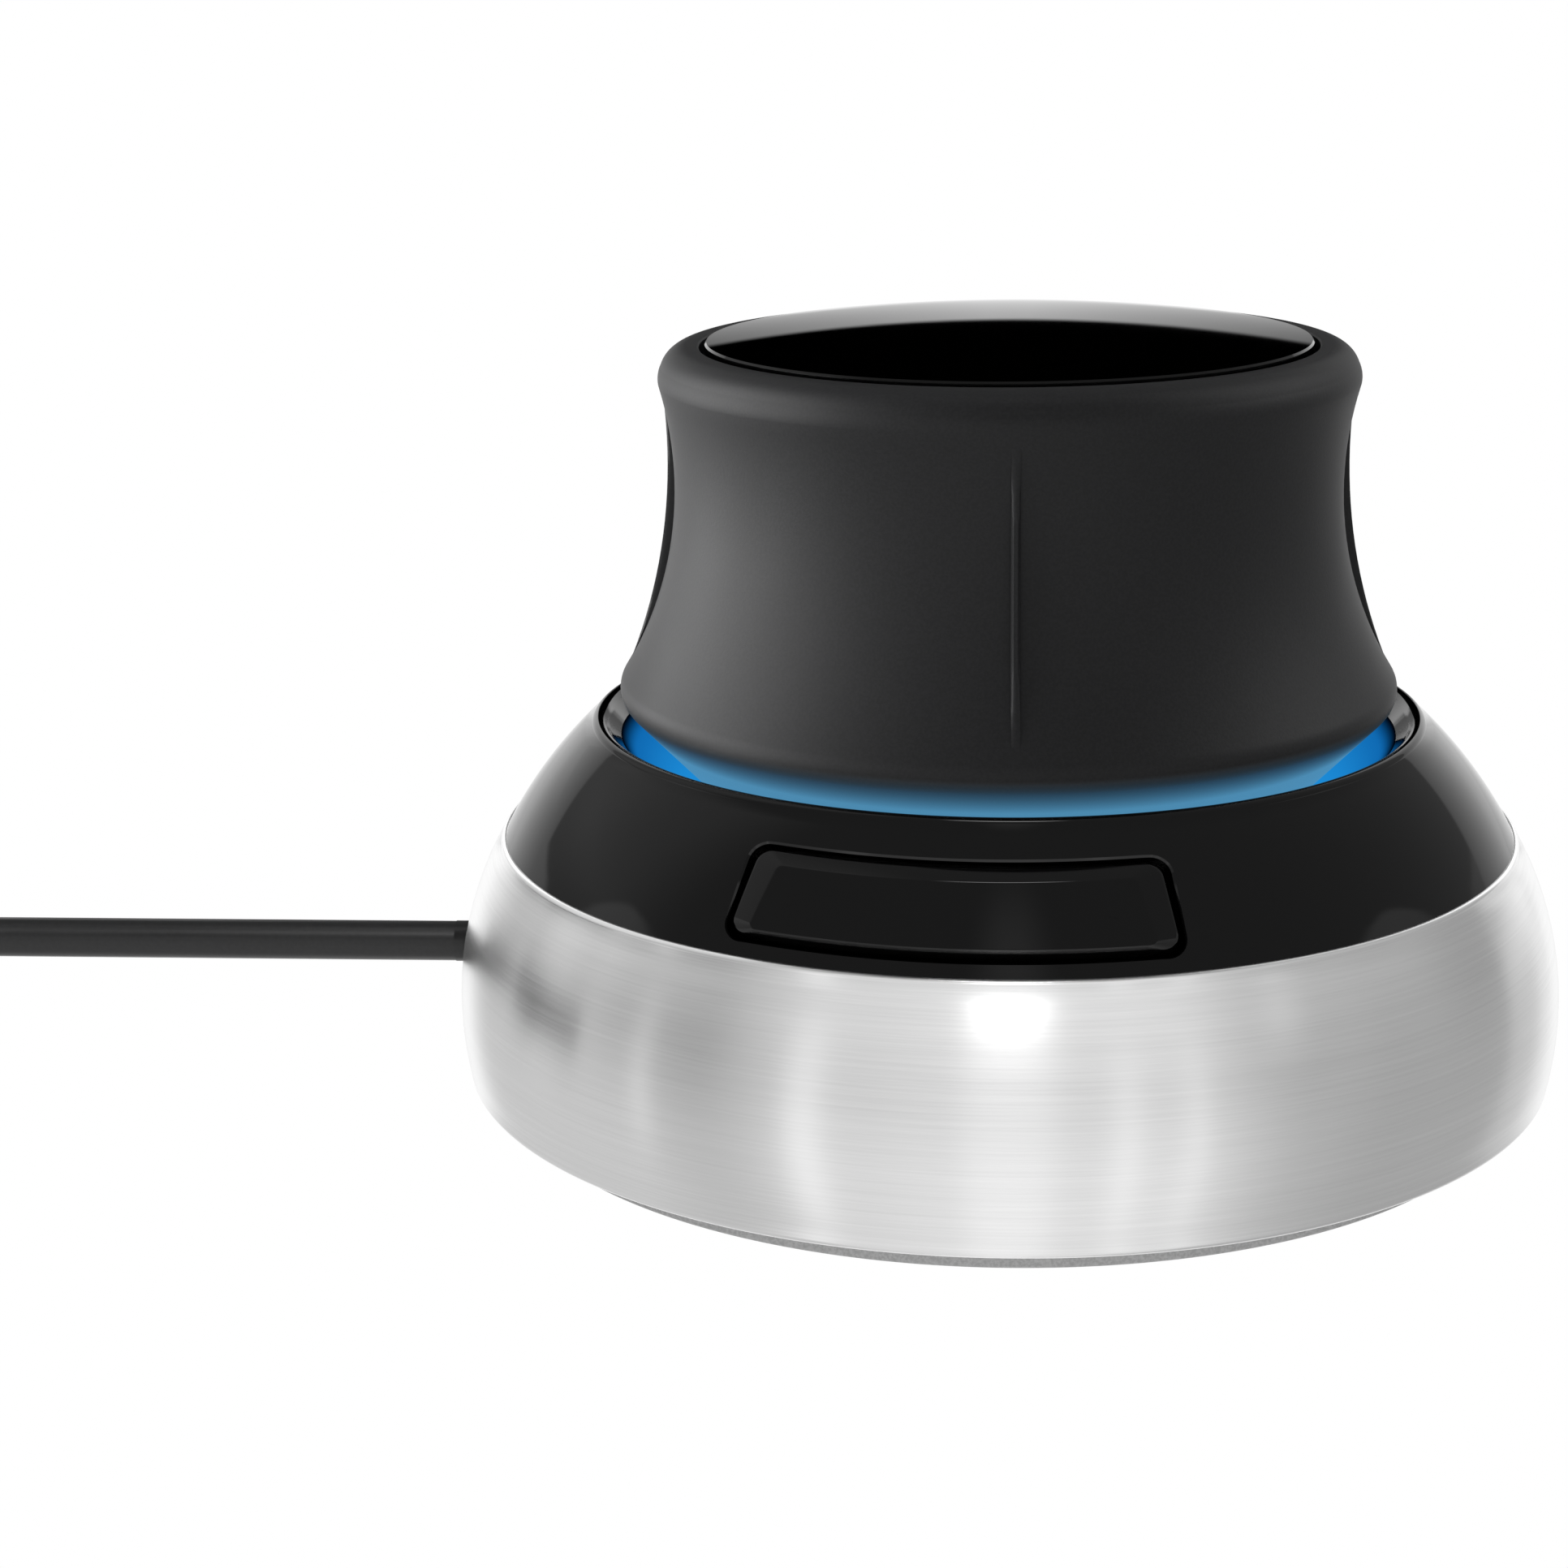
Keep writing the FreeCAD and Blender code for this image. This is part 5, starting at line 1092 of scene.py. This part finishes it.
def build_ribs(knob):
    """Four thin upright ribs, highest in the middle of the waist."""
    centre, skirt_top, bead = waist_arc(knob)
    margin = 0.9 * MM
    sunk = 0.25 * MM
    half = knob.rib_width / 2
    crest_half = half * 0.45
    shoulder_share = 0.55

    def waist(height):
        return hollow_radius(centre, knob.waist_curve, height)

    low, high = skirt_top.y + margin, bead.y - margin
    ends = (waist(low), low), (waist(high), high)
    crest = [ends[0]] + arc_points(*ends, knob.rib_curve, RIGHT, math.radians(1.5))
    rings = []
    for radius, height in crest:
        foot = waist(height) - sunk
        proud = max(radius - waist(height), 0.0)
        top = waist(height) + proud
        shoulder = waist(height) + proud * shoulder_share
        side = ((foot, half), (shoulder, half), (top, crest_half))
        section = [(x, -y) for x, y in side] + list(reversed(side))
        rings.append([Vector((x, y, height)) for x, y in section])
    first = ringed("grip_rib", rings, smooth=math.radians(50))
    first.data.transform(Matrix.Rotation(knob.rib_turn, 4, "Z"))
    others = [copy_of(first, f"grip_rib_{n}", Matrix.Rotation(QUARTER * n, 4, "Z")) for n in (1, 2, 3)]
    return joined("grip_ribs", [first, *others])


def build_disc(knob, steps):
    """Domed disc with a small bevel round its edge."""
    edge = knob.core_top + knob.disc_edge
    foot = edge + knob.disc_bevel
    bevel_run = 0.86
    inner = knob.disc_radius - knob.disc_bevel * bevel_run
    rise = knob.top - foot
    dome = (inner ** 2 + rise ** 2) / (2 * rise)
    return turned("cap_disc_skin", [
        (0, knob.core_top),
        (knob.disc_radius, knob.core_top),
        (knob.disc_radius, edge),
        (inner, foot, dome, LEFT),
        (0, knob.top),
    ], steps, step=math.radians(1), closed=False)


# Cable

def coil_middle(cord):
    """Middle of the coil, at the height of the desk."""
    return Vector((-cord.coil_start - cord.radius * 2, cord.coil_radius - cord.coil_shift, 0))


def plug_place(cord):
    """Middle of the plug's back, where the cable ends, beside the coil."""
    aside = cord.coil_radius + cord.radius + cord.plug_gap + cord.plug_width / 2
    return coil_middle(cord) + Vector((0, aside, cord.plug_height / 2))


def tail_points(start, end):
    """Control points from the coil's last turn down to the plug."""
    span = end - start
    return [
        start + Vector((0, span.y * 0.38, 0)),
        start + Vector((0, span.y * 0.66, span.z * 0.2)),
        start + Vector((span.x * 0.21, span.y * 0.88, span.z * 0.65)),
        start + Vector((span.x * 0.57, span.y, span.z * 0.97)),
        end,
    ]


def half_turn(cord, number, start, end, low, high):
    """Control points of one half turn, clockwise seen from above, up to the start of the next."""
    count = cord.turn_points
    outside = 1 / math.cos(QUARTER / count)
    points = []
    for step in range(count):
        along = step / count
        turn = -QUARTER - math.pi * (number + along)
        radius = (start + (end - start) * along) * outside
        climb = along * along * (3 - 2 * along)
        spot = Vector((radius * math.cos(turn), radius * math.sin(turn), low + (high - low) * climb))
        points.append(coil_middle(cord) + spot)
    return points


def cable_points(cord):
    """Control points of the whole cable: out of the shell, down to the desk, coil and tail."""
    height = cord.coil_height
    points = [
        Vector((-cord.exit_reach, 0, cord.exit_height)),
        Vector((-cord.bend_reach + 14 * MM, 0, cord.exit_height)),
        Vector((-cord.bend_reach + 3 * MM, 0, cord.exit_height)),
        Vector((-cord.landing + 5 * MM, -cord.coil_shift + 5 * MM, height + 2 * MM)),
        Vector((-cord.landing - 6 * MM, -cord.coil_shift, height)),
    ]
    radius, number, inward = cord.coil_radius, 0, -1
    for layer, count in enumerate(LAYER_HALF_TURNS):
        if layer:
            points += half_turn(cord, number, radius, radius, height, height + cord.pitch)
            height += cord.pitch
            inward = -inward
            number += 1
        for _ in range(count):
            there = radius + inward * cord.pitch / 2
            points += half_turn(cord, number, radius, there, height, height)
            radius = there
            number += 1
    quarter = half_turn(cord, number, radius, radius + cord.pitch / 2, height, height)
    last = coil_middle(cord) + Vector((-radius - cord.pitch / 4, cord.pitch / 4, height))
    points += quarter[:cord.turn_points // 2] + [last]
    return points + tail_points(last, plug_place(cord))


def build_cable(cord):
    """The cable as one smooth line with a round section."""
    points = cable_points(cord)
    curve = bpy.data.curves.new("cable_line", "CURVE")
    curve.dimensions = "3D"
    spline = curve.splines.new("NURBS")
    spline.points.add(len(points) - 1)
    for point, place in zip(spline.points, points):
        point.co = (*place, 1.0)
    spline.order_u = 3
    spline.use_endpoint_u = True
    spline.resolution_u = 4
    curve.bevel_depth = cord.radius
    curve.bevel_resolution = 5
    curve.use_fill_caps = True
    return new_object("cable_line", curve)


# Stage and light

def make_camera(stage):
    """The camera that sees the mouse as the photograph does."""
    data = bpy.data.cameras.new("camera")
    data.sensor_width = 36.0
    data.lens = stage.focal / PHOTO_SIDE * data.sensor_width
    data.clip_start = 0.01
    data.clip_end = 50.0
    camera = new_object("camera", data)
    pitch, yaw, roll = stage.pitch, stage.yaw, stage.roll
    level = math.cos(pitch)
    ahead = Vector((math.sin(yaw) * level, math.cos(yaw) * level, -math.sin(pitch)))
    right = Vector((math.cos(yaw), -math.sin(yaw), 0))
    up = right.cross(ahead)
    leaned = right * math.cos(roll) + up * math.sin(roll)
    upright = up * math.cos(roll) - right * math.sin(roll)
    axes = Matrix((leaned, upright, -ahead)).transposed().to_4x4()
    camera.matrix_world = Matrix.Translation((0, -stage.distance, stage.height)) @ axes
    bpy.context.scene.camera = camera


def make_floor(stage):
    """Floor that is white to the camera and clear to every other ray, so light comes up through it."""
    floor = new_piece("floor", bpy.ops.mesh.primitive_plane_add, size=stage.floor_half * 2)
    material, shader = bare_material("pale_floor")
    pale = shader.add("ShaderNodeEmission", {"Color": (1, 1, 1), "Strength": 1.0})
    clear = shader.add("ShaderNodeBsdfTransparent")
    seen = shader.add("ShaderNodeLightPath").outputs["Is Camera Ray"]
    surface = shader.add("ShaderNodeMixShader", {0: seen, 1: clear.outputs[0], 2: pale.outputs[0]})
    shader.add("ShaderNodeOutputMaterial", {0: surface.outputs[0]})
    floor.data.materials.append(material)
    floor.location.z = -0.02 * MM


class Studio(Shader):
    """Brightness of the studio by direction: a bearing, 0 to the front and growing to the right, and
    a rise, both in degrees."""

    def __init__(self, tree, direction):
        super().__init__(tree)
        split = self.add("ShaderNodeSeparateXYZ", {0: direction})
        ahead = self.times(split.outputs[1], -1.0)
        degrees = 180 / math.pi
        self.rise = self.times(self.math("ARCSINE", split.outputs[2]), degrees)
        self.bearing = self.times(self.math("ARCTAN2", split.outputs[0], ahead), degrees)
        self.near = self.below_walls()

    def away(self, middle):
        """How many degrees a direction lies to either side of a bearing."""
        turned_by = self.minus(self.bearing, middle)
        wrapped = self.add("ShaderNodeMath", {0: turned_by, 1: 180, 2: -180}, operation="WRAP")
        return self.math("ABSOLUTE", wrapped.outputs[0])

    def across(self, middle, half, soft):
        """One inside a sector of bearings, nought outside it."""
        return self.fade(self.away(middle), half + soft, half - soft)

    def between(self, low, high, soft_low, soft_high):
        """One between two rises."""
        above = self.fade(self.rise, low - soft_low, low + soft_low)
        return self.times(above, self.fade(self.rise, high + soft_high, high - soft_high))

    def outside(self, mask):
        """One where a mask is nought."""
        return self.minus(1.0, mask)

    def total(self, *parts):
        """Sum of brightnesses, each a number and the masks that it is multiplied by."""
        result = 0.0
        for part, *masks in parts:
            for mask in masks:
                part = self.times(mask, part)
            result = self.plus(result, part)
        return result

    def below_walls(self):
        """One below the upper edge of the pale walls, which are low at the back."""
        top = self.fade(self.away(0), 95, 120, 24, 9)
        return self.fade(self.minus(self.rise, top), 0.8, -0.8)

    def walls(self):
        """Pale desk and walls, brightest ahead and behind, with five narrow lamps."""
        level = self.total(
            # The even level, then wide stretches that are brighter or darker
            (0.50,),
            (0.30, self.across(-2, 50, 15)),
            (0.14, self.across(1, 9, 4)),
            (0.12, self.across(-110, 40, 18)),
            (-0.12, self.across(-74, 16, 6), self.between(-4, 30, 6, 6)),
            (-0.05, self.across(-40, 18, 8)),
            (0.08, self.across(85, 18, 10), self.fade(self.rise, -8, 0)),
            (-0.10, self.across(105, 35, 15)),
            (0.50, self.outside(self.across(0, 143, 10))),
            # Narrow lamps
            (0.30, self.across(-40, 3.5, 3), self.between(-40, 22, 5, 4)),
            (0.22, self.across(24, 2.5, 2.5), self.between(-40, 18, 5, 4)),
            (0.20, self.across(38, 2.2, 2.2), self.between(-40, 17, 5, 4)),
            (0.26, self.across(-77, 2.2, 2.5), self.between(-22, 14, 6, 3)),
            (0.34, self.across(60, 4, 5), self.between(16, 27, 5, 4)),
        )
        narrow = self.times(self.across(180, 13, 1), self.fade(self.rise, -4, -1))
        edge = self.fade(self.away(180), 0.5, 8, 0, 0.68, smooth=False)
        level = self.times(level, self.outside(self.times(narrow, edge)))
        from_dip = self.math("ABSOLUTE", self.minus(self.rise, 6.0))
        return self.times(level, self.fade(from_dip, 5, 16, 0.84, 1.0))

    def sky(self):
        """Dim ceiling, dark over the back wall, brighter at the left, ahead and right above."""
        dark = self.times(self.across(180, 13, 2), self.fade(self.rise, 40, 34))
        level = self.total(
            (0.23,),
            (0.15, self.across(-115, 22, 14), self.between(15, 75, 6, 6)),
            (5.0, self.across(0, 92, 8), self.between(82, 90, 1.5, 2)),
            (0.20, self.across(2, 7, 6), self.between(36, 58, 4, 12)),
        )
        return self.times(level, self.outside(dark))

    def side_screens(self):
        """Bright screens to both sides of the back wall, with slanting inner ends."""
        slant = self.plus(self.away(180), self.rise)
        inside = self.fade(slant, 58.5, 55.5)
        level = self.fade(slant, 57, 28, 0.45, 1.0, smooth=False)
        clear = self.fade(self.away(180), 12, 15)
        return self.total((1.0, inside, level, clear, self.between(-5, 35, 1, 2)))

    def surroundings(self):
        """What every piece is lit by."""
        open_part = self.times(self.sky(), self.outside(self.near))
        level = self.plus(self.times(self.walls(), self.near), open_part)
        return self.math("MAXIMUM", level, self.side_screens())

    def metal_extra(self):
        """What the metal shell alone gets: higher walls, two narrow lamps and one ahead."""
        more = self.minus(self.walls(), 0.23, clamp=True)
        return self.total((1.0, more, self.outside(self.near), self.fade(self.rise, 70, 55)),
                          (0.17, self.across(132, 11, 2.5), self.fade(self.rise, 12, 6)),
                          (0.12, self.across(-107, 6, 4), self.between(-14, 16, 4, 4)),
                          (1.3, self.across(1, 8, 4), self.between(31, 55, 5, 6)))


def make_light():
    """Soft studio light from all sides; the camera itself sees a white ground."""
    world = bpy.data.worlds.new("studio")
    bpy.context.scene.world = world
    world.use_nodes = True
    world.node_tree.nodes.clear()
    shader = Shader(world.node_tree)
    studio = Studio(world.node_tree, shader.add("ShaderNodeTexCoord").outputs["Generated"])
    seen = shader.add("ShaderNodeLightPath").outputs["Is Camera Ray"]
    strength = shader.math("MAXIMUM", studio.surroundings(), seen)
    ground = shader.add("ShaderNodeBackground", {"Color": (1, 1, 1), "Strength": strength})
    shader.add("ShaderNodeOutputWorld", {0: ground.outputs[0]})
    bpy.context.scene.view_settings.view_transform = "Standard"


def shine_only_on(light, piece):
    """Let a light reach a single piece."""
    group = bpy.data.collections.new(light.name)
    group.objects.link(piece)
    light.light_linking.receiver_collection = group


def make_metal_dome(shell):
    """Large sphere round the stage whose light reaches the metal shell alone."""
    dome = new_piece("metal_dome", bpy.ops.mesh.primitive_uv_sphere_add, segments=32, ring_count=16,
                     radius=3.0)
    material, shader = bare_material("dome_light")
    direction = shader.add("ShaderNodeVectorMath", {0: shader.object_place()}, operation="NORMALIZE")
    brightness = Studio(material.node_tree, direction.outputs[0]).metal_extra()
    light = shader.add("ShaderNodeEmission", {"Color": (1, 1, 1), "Strength": brightness})
    clear = shader.add("ShaderNodeBsdfTransparent")
    both = shader.add("ShaderNodeAddShader", {0: light.outputs[0], 1: clear.outputs[0]})
    shader.add("ShaderNodeOutputMaterial", {0: both.outputs[0]})
    dome.data.materials.append(material)
    for kind in ("camera", "diffuse", "transmission", "volume_scatter", "shadow"):
        setattr(dome, "visible_" + kind, False)
    shine_only_on(dome, shell)


def make_lamp(name, piece, bearing, rise, strength, spread):
    """Soft lamp far away whose light reaches a single piece; bearing, rise and spread in degrees."""
    data = bpy.data.lights.new(name, "SUN")
    data.energy = strength
    data.angle = math.radians(spread)
    lamp = new_object(name, data)
    bearing, rise = math.radians(bearing), math.radians(rise)
    level = math.cos(rise)
    towards = Vector((math.sin(bearing) * level, -math.cos(bearing) * level, math.sin(rise)))
    lamp.matrix_world = towards.to_track_quat("Z", "Y").to_matrix().to_4x4()
    shine_only_on(lamp, piece)


# Operators, one for each piece or group of pieces

class MouseOperator(bpy.types.Operator):
    bl_options = {"REGISTER", "UNDO"}


class MOUSE_OT_finishes(MouseOperator):
    """Make the materials and give them to the model's own nodes"""

    bl_idname = "mouse.finishes"
    bl_label = "Finishes"

    def execute(self, context):
        scene = context.scene
        make_finishes(scene.mouse_finishes, scene.mouse_cover, scene.mouse_knob)
        for row in frame["record"]["subparts"]:
            dress(frame["nodes"][row["node"]], row["material_slot"])
        return {"FINISHED"}


class MOUSE_OT_stage(MouseOperator):
    """Set up the camera, the floor and the light"""

    bl_idname = "mouse.stage"
    bl_label = "Stage"

    def execute(self, context):
        make_camera(context.scene.mouse_stage)
        make_floor(context.scene.mouse_stage)
        make_light()
        return {"FINISHED"}


class MOUSE_OT_lamps(MouseOperator):
    """Add the lights that reach a single piece: the metal shell, the rubber grip or the cable"""

    bl_idname = "mouse.lamps"
    bl_label = "Lamps"

    def execute(self, context):
        pieces = context.scene.objects
        grip = pieces["knob_grip_skin"]
        make_metal_dome(pieces["metal_shell_skin"])
        make_lamp("left_lamp", grip, bearing=-97, rise=8, strength=5.2, spread=68)
        make_lamp("cable_lamp", pieces["cable_line"], bearing=5, rise=58, strength=0.7, spread=14)
        make_lamp("right_lamp", grip, bearing=106, rise=34, strength=0.9, spread=50)
        return {"FINISHED"}


class MOUSE_OT_cable(MouseOperator):
    """Lay the cable with its coil"""

    bl_idname = "mouse.cable"
    bl_label = "Cable"

    def execute(self, context):
        cord = context.scene.mouse_cord
        piece = keep(build_cable(cord), "base", "cable_rubber", "cable", "cable_coil")
        return {"FINISHED"}


class MOUSE_OT_base(MouseOperator):
    """Model the metal shell, the foot ring and the cable's bush"""

    bl_idname = "mouse.base"
    bl_label = "Base"

    def execute(self, context):
        base, cord = context.scene.mouse_base, context.scene.mouse_cord
        keep(build_shell(base, cord), "base", "brushed_shell", "metal_shell")
        keep(build_foot(base), "base", "grey_rubber", "foot_ring")
        keep(build_grommet(base, cord), "base", "cable_rubber", "cable_grommet")
        return {"FINISHED"}


class MOUSE_OT_cover(MouseOperator):
    """Model the black cover with its funnel and the light ring in it"""

    bl_idname = "mouse.cover"
    bl_label = "Cover"

    def execute(self, context):
        scene = context.scene
        cover = build_cover(scene.mouse_base, scene.mouse_cover, scene.mouse_button)
        keep(cover, "base", "gloss_black", "top_cover")
        paint_glow_on_funnel(cover, scene.mouse_cover)
        ring = build_light_ring(scene.mouse_cover, scene.mouse_base.steps)
        keep(ring, "base", "clear_plastic", "light_ring")
        return {"FINISHED"}


class MOUSE_OT_buttons(MouseOperator):
    """Model the two side buttons"""

    bl_idname = "mouse.buttons"
    bl_label = "Side buttons"

    def execute(self, context):
        left = build_button(ButtonFrame(context.scene.mouse_cover, context.scene.mouse_button))
        right = copy_of(left, "right_button_key", Matrix.Scale(-1, 4, (0, 1, 0)))
        keep(left, "left_key", "gloss_black", "left_button")
        keep(right, "right_key", "gloss_black", "right_button")
        return {"FINISHED"}


class MOUSE_OT_knob(MouseOperator):
    """Model the rubber grip with its ribs and the disc in its top"""

    bl_idname = "mouse.knob"
    bl_label = "Knob"

    def execute(self, context):
        knob, steps = context.scene.mouse_knob, context.scene.mouse_base.steps
        grip = joined("knob_grip_skin", [build_grip(knob, steps), build_ribs(knob)])
        keep(grip, "knob", "black_rubber", "knob_grip", finish="grip_with_painted_glow")
        keep(build_disc(knob, steps), "knob", "gloss_black", "cap_disc", finish="gloss_disc")
        return {"FINISHED"}


class MOUSE_PT_panel(bpy.types.Panel):
    bl_idname = "MOUSE_PT_panel"
    bl_label = "Three-dimensional mouse"
    bl_space_type = "VIEW_3D"
    bl_region_type = "UI"
    bl_category = "Mouse"

    def draw(self, context):
        for operator in OPERATORS:
            self.layout.operator(operator.bl_idname)
        for name, group in GROUPS.items():
            box = self.layout.box()
            for key in group.__annotations__:
                box.prop(getattr(context.scene, name), key)


GROUPS = {
    "mouse_base": BaseSizes,
    "mouse_cover": CoverSizes,
    "mouse_button": ButtonSizes,
    "mouse_knob": KnobSizes,
    "mouse_cord": CordSizes,
    "mouse_stage": StageSettings,
    "mouse_finishes": Finishes,
}
OPERATORS = (MOUSE_OT_finishes, MOUSE_OT_stage, MOUSE_OT_cable, MOUSE_OT_base, MOUSE_OT_cover,
             MOUSE_OT_buttons, MOUSE_OT_knob, MOUSE_OT_lamps)


def register():
    for item in (*GROUPS.values(), *OPERATORS, MOUSE_PT_panel):
        bpy.utils.register_class(item)
    for name, group in GROUPS.items():
        setattr(bpy.types.Scene, name, PointerProperty(type=group))


def unregister():
    for name in GROUPS:
        delattr(bpy.types.Scene, name)
    for item in reversed((*GROUPS.values(), *OPERATORS, MOUSE_PT_panel)):
        bpy.utils.unregister_class(item)


def main():
    """Build everything in order."""
    register()
    bpy.ops.mouse.finishes()
    bpy.ops.mouse.stage()
    bpy.ops.mouse.cable()
    bpy.ops.mouse.base()
    bpy.ops.mouse.cover()
    bpy.ops.mouse.buttons()
    bpy.ops.mouse.knob()
    bpy.ops.mouse.lamps()


if __name__ == "__main__":
    main()
